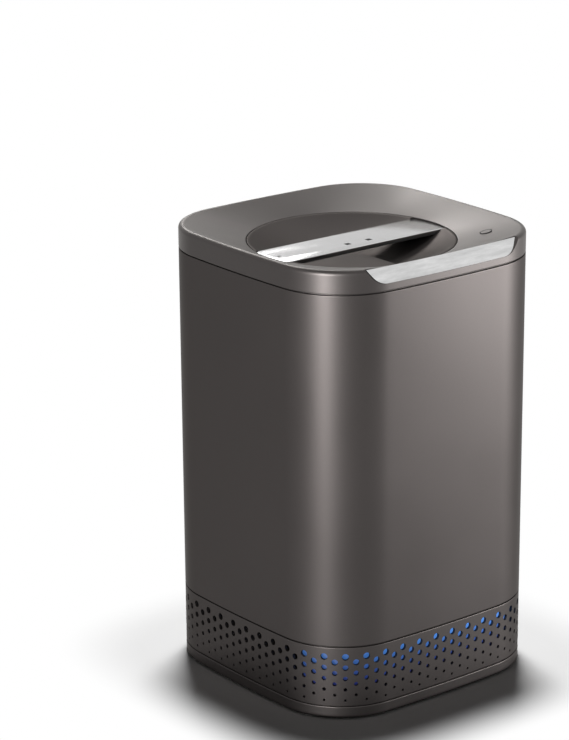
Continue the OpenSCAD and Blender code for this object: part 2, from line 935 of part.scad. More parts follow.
module tie_posts() {
    color(steel) at_posts() difference() {
        rod(shell_z, collar_low_z, post_r);
        rod(shell_z - 1, shell_z + tie_hole_l, tie_r + screw_fit);
        rod(collar_low_z - tie_hole_l, collar_low_z + 1, tie_r + screw_fit);
    }
}

module base_screws() {
    color(steel) at_posts() {
        pan_screw(
            skirt_z + tie_head_sink,
            shell_z + tie_grip - skirt_z - tie_head_sink,
            tie_r, tie_head_r
        );
        rod(collar_low_z - tie_grip, collar_low_z + tie_stud_l, tie_r);
    }
}

module collar_screws() {
    color(steel) at_flange_screws() pan_screw(collar_low_z - flange_t, flange_screw_l);
}

// Drying well and heater

module well() {
    top = collar_low_z;
    color("lightgray") difference() {
        union() {
            ring(well_z, top - well_z, well_r + well_t, well_r);
            rod(well_z, well_floor, well_r + 0.5);
            ring(top - flange_t, flange_t, flange_r, well_r);
        }
        rod(well_z - 1, well_floor + 1, shaft_r + 2);
        rotate(grille_a) block(
            [well_r - grille_reach, -grille_w / 2, grille_z],
            [well_r + grille_reach, grille_w / 2, grille_z + grille_h]
        );
        at_flange_screws() rod(top - 4, top + 1, screw_r + screw_fit);
    }
}

module well_grille() {
    color(dark) intersection() {
        ring(grille_z, grille_h, well_r + well_t, well_r);
        rotate(grille_a) difference() {
            block(
                [well_r - grille_reach, grille_fit - grille_w / 2, grille_z],
                [well_r + grille_reach, grille_w / 2 - grille_fit, grille_z + grille_h]
            );
            for (k = [0 : grille_bars - 1]) {
                y = -grille_w / 2 + grille_w * (k + 0.5) / grille_bars;
                block(
                    [well_r - grille_reach - 1, y - grille_slot_w / 2, grille_z + grille_frame],
                    [well_r + grille_reach + 1, y + grille_slot_w / 2, grille_z + grille_h - grille_frame]
                );
            }
        }
    }
}

module heater_ring() {
    color("silver") difference() {
        ring(well_z - heater_t, heater_t, heater_r, heater_inner_r);
        at_angles([0 : 60 : 300], (heater_r + heater_inner_r) / 2)
            rod(well_z - heater_t - 1, well_z + 1, heater_hole_r);
    }
}

module thermostat() {
    out = well_r + well_t;
    color("white") rotate(thermostat_a) translate([0, 0, well_z + thermostat_rise]) {
        difference() {
            translate([out - thermostat_sink, 0, 0]) rotate([0, 90, 0])
                cylinder(r = thermostat_r, h = thermostat_l + thermostat_sink);
            rod(-2 * thermostat_r, 2 * thermostat_r, out);
        }
        for (y = [-tab_t - tab_w, tab_t])
            translate([out + thermostat_l - 0.5, y, -tab_t / 2]) cube([tab_l, tab_w, tab_t]);
    }
}

// Drive

module drive_seal() {
    color(dark) ring(well_floor, seal_ring_h, seal_ring_r, shaft_r + 0.3);
}

module drive_bearing() {
    color("goldenrod") ring(
        gearbox_top - cover_spigot_h, well_z - gearbox_top + cover_spigot_h,
        bush_r, shaft_r + run_fit
    );
}

module drive_shaft() {
    color(steel) {
        rod(gearbox_floor + shaft_rise, socket_z - 1, shaft_r);
        translate([0, 0, socket_z - 1])
            cylinder(r = shaft_r, h = hex_top - socket_z + 1 - hex_end_gap, $fn = 6);
    }
}

module output_gear() {
    color(nylon) {
        translate([0, 0, slow_z]) difference() {
            gear(slow_module, wheel_teeth, slow_face, shaft_r);
            translate([0, 0, slow_face - web_depth])
                ring(0, web_depth + 1, slow_tip - web_inset, shaft_r + gear_hub_t + 2);
            ring(-1, web_depth + 1, slow_tip - web_inset, shaft_r + gear_hub_t + 2);
        }
        ring(
            gearbox_floor + shaft_rise, slow_z - gearbox_floor - shaft_rise,
            shaft_r + gear_hub_t, shaft_r
        );
    }
}

module idler_gear() {
    color(nylon) translate([idler_x, 0, 0]) {
        translate([0, 0, fast_z]) gear(fast_module, wheel_teeth, fast_face, pin_r + run_fit);
        ring(fast_z + fast_face, gear_step, idler_hub_r, pin_r + run_fit);
        translate([0, 0, slow_z]) rotate(idler_slow_turn)
            gear(slow_module, pinion_teeth, slow_face, pin_r + run_fit);
    }
}

module idler_pin() {
    color(steel) translate([idler_x, 0, 0]) {
        rod(gearbox_floor, cover_z - 1, pin_r);
        ring(gearbox_floor, fast_rise - pin_collar_gap, pin_collar_r, pin_r - 0.5);
    }
}

module motor_pinion() {
    color("goldenrod") translate([motor_x, motor_y, 0]) {
        translate([0, 0, fast_z - pinion_lap]) rotate(motor_turn)
            gear(fast_module, pinion_teeth, fast_face + 2 * pinion_lap, motor_shaft_r - 0.3);
        rod(deck_z - motor_shaft_drop, fast_z + fast_face + pinion_end, motor_shaft_r);
    }
}

module motor() {
    color("dimgray") translate([motor_x, motor_y, 0]) difference() {
        union() {
            rod(motor_low, deck_z - motor_neck_h, motor_r);
            rod(deck_z - motor_neck_h, deck_z, motor_r - motor_neck_t);
            rod(deck_z - motor_neck_h, deck_z + deck_t, motor_spigot_r);
            rod(motor_low - motor_cap_drop, motor_low, motor_r - motor_cap_inset);
            for (s = [-1, 1]) translate([s * (motor_r - motor_pin_dist), 0])
                rod(motor_low - motor_pin_l, motor_low, 1.5);
        }
        rod(deck_z - motor_shaft_drop - 1, deck_z + deck_t + 1, motor_shaft_r + run_fit);
    }
}

module gearbox_plan(grow) {
    circle(case_r + grow);
    translate([idler_x, 0]) circle(case_idler_r + grow);
    translate([motor_x, motor_y]) circle(case_motor_r + grow);
    translate([idler_x / 2, 0]) square([-idler_x, 2 * case_idler_r + 2 * grow - cover_flat], center = true);
}

module at_gearbox_screws() {
    lug = gearbox_wall + lug_rise;
    at_angles([45, -45, 125], case_r + lug) children();
    translate([idler_x, 0]) at_angles([135, -135], case_idler_r + lug) children();
}

module gearbox_outside() {
    gearbox_plan(gearbox_wall);
    at_gearbox_screws() circle(lug_r);
}

module gearbox_case() {
    color(dark) difference() {
        translate([0, 0, gearbox_z]) linear_extrude(gearbox_top - gearbox_z) gearbox_outside();
        translate([0, 0, gearbox_floor]) linear_extrude(gearbox_top) gearbox_plan(0);
        translate([motor_x, motor_y]) rod(gearbox_z - 1, gearbox_floor + 1, motor_shaft_r + 1);
        at_gearbox_screws() rod(gearbox_z - 1, gearbox_top + 1, screw_r + screw_fit);
    }
}

module gearbox_cover() {
    color(dark) difference() {
        union() {
            translate([0, 0, gearbox_top]) linear_extrude(gearbox_lid_t) gearbox_outside();
            rod(gearbox_top, well_z, bush_r + cover_hub_t);
            rod(gearbox_top - cover_spigot_h, gearbox_top + 1, bush_r + cover_spigot_t);
        }
        rod(gearbox_top - cover_spigot_h - 1, well_z + 1, bush_r);
        translate([idler_x, 0]) rod(gearbox_top - 1, cover_z - 1, pin_r + 0.05);
        at_gearbox_screws() rod(gearbox_top - 1, cover_z + 1, screw_r + screw_fit);
    }
}

module gearbox_screws() {
    color(steel) at_gearbox_screws() mirror([0, 0, 1])
        pan_screw(-cover_z, cover_z - deck_z - 0.5);
}

// Air path

module intake_duct() {
    top = collar_low_z - flange_t - duct_drop;
    color(dark) difference() {
        block([-sleeve_w / 2, well_r - duct_reach, filter_top], [sleeve_w / 2, sleeve_end, top]);
        block(
            [-sleeve_w / 2 + duct_t, 0, filter_top - 1],
            [sleeve_w / 2 - duct_t, sleeve_end - duct_t, top - duct_t]
        );
        rod(filter_top - 1, top + 1, well_r + well_t + 0.1);
    }
}

module filter_sleeve() {
    color(dark) difference() {
        block([-sleeve_w / 2, sleeve_y, filter_z], [sleeve_w / 2, sleeve_end, filter_top]);
        block(
            [-filter_w / 2, sleeve_y + duct_t, filter_z + duct_t],
            [filter_w / 2, rear_y, filter_top - duct_t]
        );
        for (z = [filter_z, filter_top]) block(
            [-port_w / 2, sleeve_y + port_edge, z - port_edge],
            [port_w / 2, sleeve_end - port_back, z + port_edge]
        );
    }
}

module filter_drawer() {
    low = filter_z + duct_t + slide_gap;
    high = filter_top - duct_t - slide_gap;
    back = sleeve_y + duct_t + slide_gap;
    pull_low = high - pull_drop - pull_h;
    color(taupe) {
        difference() {
            intersection() {
                band(filter_z, filter_h, 0, wall);
                block(
                    [-window_w / 2 + slide_gap, 0, filter_z + window_rise + slide_gap],
                    [window_w / 2 - slide_gap, rear_y + 5, filter_z + window_rise + window_h - slide_gap]
                );
            }
            block(
                [-pull_w / 2, rear_y - pull_d, pull_low],
                [pull_w / 2, rear_y + 5, pull_low + pull_h]
            );
        }
        // Frame round the cartridge, open above and below
        difference() {
            block([-drawer_w / 2, back, low], [drawer_w / 2, rear_y - wall, high]);
            block(
                [-drawer_w / 2 + drawer_t, back + drawer_t, low - 1],
                [drawer_w / 2 - drawer_t, rear_y - wall - drawer_t, high + 1]
            );
            block([-pull_w / 2, rear_y - pull_d, pull_low], [pull_w / 2, rear_y, pull_low + pull_h]);
        }
        // Cup of the finger pull
        difference() {
            block(
                [-pull_w / 2 - drawer_t, rear_y - wall - pull_d, pull_low - drawer_t],
                [pull_w / 2 + drawer_t, rear_y - wall - 1, pull_low + pull_h + drawer_t]
            );
            block(
                [-pull_w / 2, rear_y - wall - pull_d + drawer_t, pull_low],
                [pull_w / 2, rear_y + 1, pull_low + pull_h]
            );
        }
    }
}

module filter_cartridge() {
    low = filter_z + duct_t + slide_gap;
    high = filter_top - duct_t - slide_gap;
    back = sleeve_y + duct_t + slide_gap + drawer_t;
    front = rear_y - wall - pull_d;
    color([0.2, 0.2, 0.2]) difference() {
        block(
            [drawer_t - drawer_w / 2, back, low + cartridge_inset],
            [drawer_w / 2 - drawer_t, front, high - cartridge_inset]
        );
        for (k = [-4 : 4], z = [low + cartridge_inset, high - cartridge_inset]) block(
            [k * rib_pitch - rib_gap / 2, back + rib_margin, z - rib_depth],
            [k * rib_pitch + rib_gap / 2, front - rib_margin, z + rib_depth]
        );
    }
}

module exhaust_duct() {
    y0 = fan_y - fan_r + duct_lap;
    color(dark) difference() {
        union() {
            block([-exhaust_w, y0, shell_z], [exhaust_w, duct_end, shell_z + duct_h]);
            block([-exhaust_w, sleeve_y, shell_z], [exhaust_w, duct_end, filter_z]);
        }
        block(
            [duct_t - exhaust_w, y0 + duct_t, shell_z - 1],
            [exhaust_w - duct_t, duct_end - duct_t, shell_z + duct_h - duct_t]
        );
        block(
            [duct_t - exhaust_w, sleeve_y + duct_t, shell_z - 1],
            [exhaust_w - duct_t, duct_end - duct_t, filter_z + 1]
        );
    }
}

module fan_plan(grow) {
    translate([0, fan_y]) circle(fan_case_r - duct_t + grow);
    translate([fan_outlet_x, fan_y - fan_gap - grow])
        square([fan_outlet_l + grow, fan_outlet_h + 2 * grow]);
}

module fan_housing() {
    color(dark) difference() {
        translate([0, 0, fan_z]) linear_extrude(fan_case_h) fan_plan(duct_t);
        translate([0, 0, fan_z + duct_t]) linear_extrude(fan_case_h - 2 * duct_t) {
            fan_plan(0);
            translate([fan_r + 10, fan_y - fan_gap]) square([20, fan_outlet_h]);
        }
        translate([0, fan_y]) rod(deck_z - duct_t - 1, deck_z + 1, fan_eye_r);
        translate([0, fan_y]) rod(fan_z - 1, fan_z + 3, fan_foot_r);
    }
}

module fan_impeller() {
    low = fan_z + fan_rise;
    color(nylon) translate([0, fan_y, 0]) {
        difference() {
            union() {
                rod(low, low + fan_plate_t, fan_r);
                rod(low, low + fan_h - 4, fan_hub_r);
            }
            rod(low - 1, low + fan_h - 6, fan_cup_r);
            rod(low, low + fan_h, fan_shaft_r + run_fit);
        }
        translate([0, 0, low + 1]) linear_extrude(fan_h - 1)
            for (k = [0 : fan_blades - 1]) rotate(k * 360 / fan_blades) translate([fan_eye_r, 0])
                rotate(fan_blade_turn) translate([0, -fan_blade_t / 2]) square([fan_blade_l, fan_blade_t]);
        ring(low + fan_h - fan_rim_t, fan_rim_t, fan_r, fan_r - fan_rim_w);
    }
}

module fan_motor() {
    color("dimgray") translate([0, fan_y, 0]) {
        rod(fan_z - 1, fan_z + duct_t, fan_foot_r - 0.1);
        rod(fan_z + duct_t, fan_z + fan_h - 4, fan_motor_r);
        rod(fan_z + duct_t, fan_z + fan_h + 2, fan_shaft_r);
    }
}

// Electrics

module main_board() {
    color("darkgreen") difference() {
        block([-board_w / 2, board_y, board_z], [board_w / 2, board_y + board_d, board_z + board_t]);
        at_board_posts() rod(board_z - 1, board_z + board_t + 1, screw_r + screw_fit);
    }
}

module at_board_posts() {
    for (sx = [-1, 1], y = [board_post_inset, board_d - board_post_inset])
        translate([sx * (board_w / 2 - board_post_inset), board_y + y]) children();
}

module board_posts() {
    color("goldenrod") at_board_posts() {
        rod(skirt_z + floor_t, board_z, board_post_r);
        rod(board_z, board_z + board_t, screw_r);
        rod(board_z + board_t, board_z + board_t + board_clip_h, board_clip_r);
    }
}

module board_parts() {
    z = board_z + board_t;
    color(dark) {
        block([-36, board_y + 10, z], [-10, board_y + 32, z + 20]);
        for (k = [0 : 2]) translate([4 + k * 12, board_y + 14]) rod(z, z + 14, 4.5);
        block([0, board_y + 28, z], [30, board_y + 38, z + 6]);
        block([-6, board_y + 24, z], [-2, board_y + 36, z + 3]);
    }
}

module led_strip() {
    y = -body_d / 2 + led_inset;
    color("white") {
        block([-led_w / 2, y, deck_z - led_h], [led_w / 2, y + led_t, deck_z]);
        for (k = [-5 : 5]) block(
            [k * led_w / 12 - led_chip_w / 2, y - led_t, deck_z - (led_h + led_chip_w) / 2],
            [k * led_w / 12 + led_chip_w / 2, y, deck_z - (led_h - led_chip_w) / 2]
        );
    }
}

module light_guide() {
    low = deck_z - guide_h;
    color([0.55, 0.75, 1]) intersection() {
        band(low, guide_h, inner_inset + guide_fit, inner_inset + guide_fit + guide_t);
        block([-body_w / 2, -body_d / 2, low], [body_w / 2 - guide_end, -corner_y - guide_depth, deck_z]);
    }
}

module lid_sensor() {
    rad = throat_r;
    color("darkgreen") rotate(magnet_a) {
        block([rad, -sensor_w / 2, ledge_z + 1], [rad + sensor_t, sensor_w / 2, ledge_z + 1 + sensor_h]);
        block(
            [rad + sensor_t, -sensor_chip_w / 2, ledge_z + 2],
            [rad + sensor_t + sensor_chip_t, sensor_chip_w / 2, ledge_z + 2 + sensor_chip_h]
        );
    }
}

module inlet_socket() {
    half_w = inlet_w / 2 - inlet_gap;
    half_h = inlet_h / 2 - inlet_gap;
    flange_w = inlet_w / 2 + inlet_lug;
    flange_h = inlet_h / 2 + inlet_lug;
    color(dark) difference() {
        union() {
            intersection() {
                block(
                    [inlet_x - half_w, rear_y - inlet_d, inlet_z - half_h],
                    [inlet_x + half_w, rear_y, inlet_z + half_h]
                );
                translate([0, 0, inlet_z - inlet_h]) linear_extrude(2 * inlet_h) outline(inlet_inset);
            }
            intersection() {
                block(
                    [inlet_x - flange_w, rear_y - wall - inlet_flange_d, inlet_z - flange_h],
                    [inlet_x + flange_w, rear_y, inlet_z + flange_h]
                );
                translate([0, 0, inlet_z - inlet_h]) linear_extrude(2 * inlet_h) outline(wall + inlet_gap);
            }
        }
        block(
            [inlet_x - half_w + inlet_rim, rear_y - inlet_deep, inlet_z - half_h + inlet_rim],
            [inlet_x + half_w - inlet_rim, rear_y + 1, inlet_z + half_h - inlet_rim]
        );
    }
}

// The middle pin stands higher than the other two
function pin_up(s) = s == 0 ? pin_rise : 0;

module inlet_pins() {
    color(steel) for (s = [-1, 0, 1])
        block(
            [inlet_x + s * pin_pitch - pin_w / 2, rear_y - inlet_deep, inlet_z - pin_h / 2 + pin_up(s)],
            [inlet_x + s * pin_pitch + pin_w / 2, rear_y - pin_back, inlet_z + pin_h / 2 + pin_up(s)]
        );
}

// Lid

// Half width of the finger pocket between the front shoulders, at a distance in front of the bar
function pocket_half(y) =
    let (f = max(0, -y - bar_w / 2), near = 40 * exp(-f / 14), far = 3 * max(0, f - 40) / 10)
    17 + near + far;

function smooth(t) = let (c = min(1, max(0, t))) c * c * (3 - 2 * c);

// Share of the dish's depth left at a place: whole behind the bar, shoulders in front of it
function pocket_share(x, y) =
    let (front = smooth((-y - 6) / 16), side = smooth((abs(x) - pocket_half(y)) / 24 + 0.5))
    1 - front * side;

function lid_top(x, y) =
    let (r = norm([x, y]), bowl = max(0, 1 - r * r / (dish_r * dish_r)))
    lid_z - dish_depth * bowl * pocket_share(x, y);

// Lid with its plug, as rings from the plug's foot out over the edge and into the dish
module lid_blank() {
    edge_z = lid_z - lid_edge;
    side = [[plug_r, plug_z], [plug_r, edge_z], [lid_r, edge_z], [lid_r, lid_z - lid_round]];
    top_radii = concat(
        [lid_r - lid_round, dish_r],
        [for (k = [dish_rings - 1 : -1 : 1]) dish_r * k / dish_rings]
    );
    n = lid_sides;
    turns = [for (i = [0 : n - 1]) [cos(i * 360 / n), sin(i * 360 / n)]];
    points = concat(
        [for (p = side, t = turns) [p[0] * t[0], p[0] * t[1], p[1]]],
        [for (r = top_radii, t = turns) [r * t[0], r * t[1], lid_top(r * t[0], r * t[1])]],
        [[0, 0, lid_top(0, 0)], [0, 0, plug_z]]
    );
    m = len(side) + len(top_radii);
    last = (m - 1) * n;
    top = m * n;
    polyhedron(
        points = points,
        faces = concat(
            [for (k = [0 : m - 2], i = [0 : n - 1])
                [k * n + i, (k + 1) * n + i, k * n + (i + 1) % n]],
            [for (k = [0 : m - 2], i = [0 : n - 1])
                [(k + 1) * n + i, (k + 1) * n + (i + 1) % n, k * n + (i + 1) % n]],
            [for (i = [0 : n - 1]) [last + i, top, last + (i + 1) % n]],
            [for (i = [0 : n - 1]) [i, (i + 1) % n, top + 1]]
        ),
        convexity = 8
    );
}

module lid_body() {
    color(collar_taupe) difference() {
        lid_blank();
        block([-lid_r - 1, -bar_w / 2 - bar_fit, bar_z], [lid_r + 1, bar_w / 2 + bar_fit, lid_z + 1]);
        for (s = [-1, 1]) translate([s * lid_screw_x, 0]) {
            rod(plug_z - 1, bar_z + 1, screw_r + screw_fit);
            rod(plug_z - 1, plug_z + lid_screw_rise, screw_head_r + screw_fit);
        }
        rotate(magnet_a) translate([magnet_dist, 0]) rod(plug_z - 1, plug_z + magnet_t, magnet_r);
    }
}

module lid_bar() {
    color(silver) difference() {
        intersection() {
            rod(bar_z, bar_top, bar_r);
            block([-bar_r, -bar_w / 2, bar_z], [bar_r, bar_w / 2, bar_top]);
        }
        for (s = [-1, 1]) translate([s * lid_screw_x, 0])
            rod(bar_z - 1, bar_z + lid_screw_grip + 0.4, screw_r + screw_fit);
    }
}

module lid_liner() {
    color(steel) difference() {
        rod(liner_z, plug_z, liner_r);
        ring(liner_z - 1, 1 + liner_groove_h, liner_groove_r, liner_groove_r - liner_groove_w);
    }
}

module lid_seal() {
    color(dark) ring(seal_z, seal_t, lid_r - 0.4, plug_r + 0.05);
}

module lid_magnet() {
    color(steel) rotate(magnet_a) translate([magnet_dist, 0]) rod(plug_z, plug_z + magnet_t, magnet_r);
}

module lid_screws() {
    color(steel) for (s = [-1, 1]) translate([s * lid_screw_x, 0])
        pan_screw(plug_z + lid_screw_rise, bar_z + lid_screw_grip - plug_z - lid_screw_rise);
}

// Bin

module bin() {
    color([0.25, 0.25, 0.26]) difference() {
        union() {
            rod(bin_z, bin_top, bin_r);
            rod(bin_top - bin_rim_t, bin_top, bin_rim_r);
        }
        rod(bin_floor, bin_top + 1, bin_inner_r);
        rod(bin_z - 1, bin_floor + 1, bush_r + 0.05);
    }
}

module bin_foot() {
    color([0.25, 0.25, 0.26])
        ring(well_floor, bin_foot_h, bin_r - foot_ring_inset, bin_r - foot_ring_inset - foot_ring_t);
}

module bin_bush() {
    color("goldenrod") difference() {
        union() {
            rod(bush_z, bin_floor + 1, bush_r);
            rod(bin_floor, bin_floor + bush_flange_t, bush_flange_r);
        }
        rod(bush_z - 1, bin_floor + bush_flange_t + 1, shaft_r + run_fit);
    }
}

module bin_bail() {
    color(steel) {
        translate([0, 0, bail_z]) rotate_extrude(angle = 180)
            translate([bail_ring_r, 0]) circle(bail_r, $fn = 24);
        for (s = [-1, 1]) translate([s * bail_ring_r, 0, bail_z]) {
            sphere(bail_r, $fn = 24);
            rotate([0, -s * 90, 0]) cylinder(r = bail_r, h = bail_hook_l, $fn = 24);
        }
    }
}

module bin_ears() {
    ear_x = bin_inner_r - ear_t / 2 - 0.2;
    color(steel) for (s = [-1, 1]) difference() {
        translate([s * ear_x, 0, bin_top + (ear_h - ear_drop) / 2])
            cube([ear_t, ear_w, ear_h + ear_drop], center = true);
        translate([s * ear_x, 0, bail_z]) rotate([0, 90, 0])
            cylinder(r = bail_r + 0.1, h = 2 * ear_t, center = true, $fn = 24);
    }
}

module breaker_bars() {
    color(steel) for (k = [0 : arm_count - 2]) {
        z = arm_z + arm_h + k * arm_pitch + (arm_pitch - arm_h - breaker_h) / 2;
        intersection() {
            rod(z, z + breaker_h, bin_inner_r);
            rotate(90 + k * 120) translate([bin_inner_r - breaker_l, 0, z])
                rotate([0, 90, 0]) linear_extrude(breaker_l + 2)
                    polygon([
                        [0, -breaker_w / 2], [-breaker_h, -breaker_top_w / 2],
                        [-breaker_h, breaker_top_w / 2], [0, breaker_w / 2],
                    ]);
        }
    }
}

// Stirrer

module rotor_hub() {
    color(steel) {
        rod(socket_top, hub_z + 1, shaft_r);
        rotate_extrude() polygon([
            [0, hub_z], [hub_r, hub_z], [hub_r, arm_z + arm_pitch], [hub_r - 3, hub_top - 5],
            [hub_r - 5, hub_top - 1.2], [hub_r - 8, hub_top], [0, hub_top],
        ]);
    }
}

// Arm with a bevelled leading edge, from the hub to the tip
module arm(length) {
    rotate([90, 0, 90]) translate([0, 0, hub_r - 2]) linear_extrude(length - hub_r + 2)
        polygon([
            [-arm_back, 0], [arm_front, 0], [arm_front, arm_edge],
            [-arm_crest, arm_h], [-arm_back, arm_h],
        ]);
}

module rotor_arms() {
    color(steel) difference() {
        intersection() {
            rod(arm_z, hub_top, arm_r);
            union() for (k = [0 : arm_count - 1], half = [0, 180])
                translate([0, 0, arm_z + k * arm_pitch]) rotate(k * 45 + half) arm(arm_r + 2);
        }
        rotor_hub_core();
    }
}

module rotor_hub_core() {
    rotate_extrude() polygon([
        [0, hub_z - 1], [hub_r, hub_z - 1], [hub_r, arm_z + arm_pitch], [hub_r - 3, hub_top - 5],
        [hub_r - 5, hub_top], [0, hub_top],
    ]);
}

module rotor_socket() {
    color(steel) difference() {
        rod(socket_z, socket_top, socket_r);
        translate([0, 0, socket_z - 1])
            cylinder(r = shaft_r + hex_gap, h = hex_top - socket_z + 1 + hex_end_gap, $fn = 6);
    }
}

outer_shell();
top_collar();
front_lip();
power_key();
key_board();
vent_band();
base_tray();
rubber_feet();
deck();
tie_posts();
base_screws();
collar_screws();
well();
well_grille();
heater_ring();
thermostat();
drive_seal();
drive_bearing();
drive_shaft();
output_gear();
idler_gear();
idler_pin();
motor_pinion();
motor();
gearbox_case();
gearbox_cover();
gearbox_screws();
intake_duct();
filter_sleeve();
filter_drawer();
filter_cartridge();
exhaust_duct();
fan_housing();
fan_impeller();
fan_motor();
main_board();
board_parts();
board_posts();
led_strip();
light_guide();
lid_sensor();
inlet_socket();
inlet_pins();
lid_body();
lid_bar();
lid_liner();
lid_seal();
lid_magnet();
lid_screws();
bin();
bin_foot();
bin_bush();
bin_bail();
bin_ears();
breaker_bars();
rotor_hub();
rotor_arms();
rotor_socket();
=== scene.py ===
"""Electric food waste composter: casing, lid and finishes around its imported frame.

Metres, +Z up, front at -Y, origin on the floor under the middle of the body.
"""

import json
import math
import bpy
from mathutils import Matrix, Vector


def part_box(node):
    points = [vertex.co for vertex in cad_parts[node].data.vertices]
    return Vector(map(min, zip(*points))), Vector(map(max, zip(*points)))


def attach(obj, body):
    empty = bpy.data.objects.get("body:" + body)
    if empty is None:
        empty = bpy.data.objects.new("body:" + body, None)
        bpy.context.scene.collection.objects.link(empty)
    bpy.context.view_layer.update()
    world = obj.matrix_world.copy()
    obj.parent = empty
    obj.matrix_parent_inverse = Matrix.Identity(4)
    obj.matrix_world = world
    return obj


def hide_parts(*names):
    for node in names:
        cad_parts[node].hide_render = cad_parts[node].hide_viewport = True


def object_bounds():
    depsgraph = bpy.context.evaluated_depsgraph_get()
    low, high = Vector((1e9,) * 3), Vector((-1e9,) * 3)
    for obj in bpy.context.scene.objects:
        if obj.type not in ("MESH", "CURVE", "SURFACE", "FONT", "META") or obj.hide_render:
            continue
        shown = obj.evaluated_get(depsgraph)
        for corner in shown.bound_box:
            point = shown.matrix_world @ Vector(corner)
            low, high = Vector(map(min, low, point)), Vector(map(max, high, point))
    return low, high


bl_info = {
    "name": "Food Waste Composter",
    "version": (1, 0, 0),
    "blender": (4, 5, 0),
    "location": "View3D > Sidebar > Composter",
    "description": "Builds the casing, lid and finishes of an electric food waste composter",
    "category": "Add Mesh",
}

import bmesh
import bpy
from bpy.props import FloatProperty, FloatVectorProperty, IntProperty, PointerProperty
from mathutils import Matrix, Vector

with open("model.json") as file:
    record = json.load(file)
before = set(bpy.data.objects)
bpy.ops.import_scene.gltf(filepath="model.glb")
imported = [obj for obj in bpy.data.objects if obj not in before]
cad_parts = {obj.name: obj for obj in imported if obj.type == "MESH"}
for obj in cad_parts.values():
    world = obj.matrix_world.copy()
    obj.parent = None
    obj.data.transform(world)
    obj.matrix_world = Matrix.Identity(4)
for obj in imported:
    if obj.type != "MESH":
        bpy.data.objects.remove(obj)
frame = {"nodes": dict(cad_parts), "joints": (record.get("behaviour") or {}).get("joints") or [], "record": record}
CAD_BOX = [list(corner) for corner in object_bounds()]
MM = 0.001

SKIRT_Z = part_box("base_tray")[0].z
VENT_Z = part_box("vent_band")[0].z
SHELL_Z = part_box("outer_shell")[0].z
COLLAR_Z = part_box("outer_shell")[1].z
RIM_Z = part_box("top_collar")[1].z
LEDGE_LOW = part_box("top_collar")[0].z
LID_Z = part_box("lid_body")[1].z
BAR_LOW, BAR_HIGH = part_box("lid_bar")
PLUG_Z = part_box("lid_body")[0].z
LID_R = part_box("lid_body")[1].x

# Steps and edges that several pieces share
EDGE_R = 0.5 * MM
TONGUE_IN = 2.15 * MM
TONGUE_THICK = 2 * MM
CORNERS = ((-1, -1), (-1, 1), (1, -1), (1, 1))
TINY = 1e-6

# Openings in the back of the sleeve
BACK_DEPTH = 12 * MM
BACK_REACH = 10 * MM
DRAWER_FIT = 0.5 * MM
INLET_LUG = 3 * MM

# Vent band
VENT_ROWS = 9
VENT_PITCH = 4.75 * MM
VENT_DROP = 8 * MM
HOLE_SIDES = 16
OUTSIDE_COS = 0.985

# Base tray and feet
SKIRT_LIP = 4 * MM
SKIRT_LIFT = 1.2 * MM
SKIRT_R = 2.1 * MM
SKIRT_INNER_R = 0.3 * MM
TRAY_FLOOR = 3 * MM
TRAY_TONGUE = 3 * MM
SLOTS_A_SIDE = 3
SLOT_PITCH = 9 * MM
SLOT_HALF = 1.5 * MM
SLOT_REACH = 18 * MM
SLOT_HEIGHT = 5 * MM
POST_R = 7 * MM
POST_SIDES = 48
POST_OFFSET = 27 * MM
POST_SINK = 2 * MM
FOOT_R = 10 * MM
FOOT_SIDES = 40
FOOT_EDGE_IN = 1.2 * MM
FOOT_EDGE_UP = 1.6 * MM
FOOT_ROUND = 0.6 * MM

# Collar
RIM_R = 3.5 * MM
RIM_FLAT = 0.8 * MM
RIM_STEPS = 10
RIM_HOLD = 0.6 * MM
# Shares of the way from the rim's inner edge down to the throat
CREST_SHARE = -0.004
FUNNEL_SHARES = (0.01, 0.03, 0.08, 0.2, 0.35, 0.5, 0.65, 0.8, 0.92, 0.975)
THROAT_R = 0.3 * MM
THROAT_STEPS = 4
THROAT_RISE = 0.1 * MM
THROAT_DROP = 3 * MM
LEDGE_WIDTH = 4.9 * MM
LEDGE_THICK = 2 * MM
LEDGE_REACH = 97 * MM
ROOF_DROP = 5 * MM
COLLAR_TONGUE = 4 * MM

# Front lip and its seat
LIP_HEIGHT = 12.5 * MM
LIP_DEPTH = 6 * MM
LIP_RISE = 13.3 * MM
LIP_LOW_HALF = 69 * MM
LIP_TOP_HALF = 77.5 * MM
LIP_CORNER_R = 15 * MM
LIP_THICK = 1.6 * MM
SEAM_FIT = 0.15 * MM
SEAT_TOP = 20 * MM
SEAT_RISE = 12 * MM
SEAT_LAP = 0.8 * MM
SEAT_FLARE = 1.2
BOW_STEP = 4 * MM
BOW_STRIPS = 26

# Power key
KEY_HOLE_R = 5.2 * MM
KEY_HOLE_DEPTH = 30 * MM
KEY_STAND = 2.7 * MM
KEY_CAP_R = 4.55 * MM
KEY_CAP_DEPTH = 5 * MM
KEY_CAP_PROUD = 0.15 * MM
KEY_EDGE_R = 0.4 * MM
KEY_RING_R = 4.88 * MM
KEY_RING_HALF = 0.3 * MM
KEY_RING_THICK = 0.5 * MM
KEY_RING_PROUD = 0.2 * MM
KEY_SIDES = 64

# Lid and its lens-shaped plate
PLUG_INSET = 5.3 * MM
LID_EDGE = 11 * MM
LID_UNDER_R = 0.4 * MM
LID_TOP_R = 0.3 * MM
LID_SIDES = 192
DISH_RINGS = 64
LENS_BACK = 33.5 * MM
LENS_SIDE = 21 * MM
LENS_CORNER_R = 19 * MM
LENS_THICK = 14 * MM
LENS_LAP = 0.6 * MM
LENS_STEPS = 40

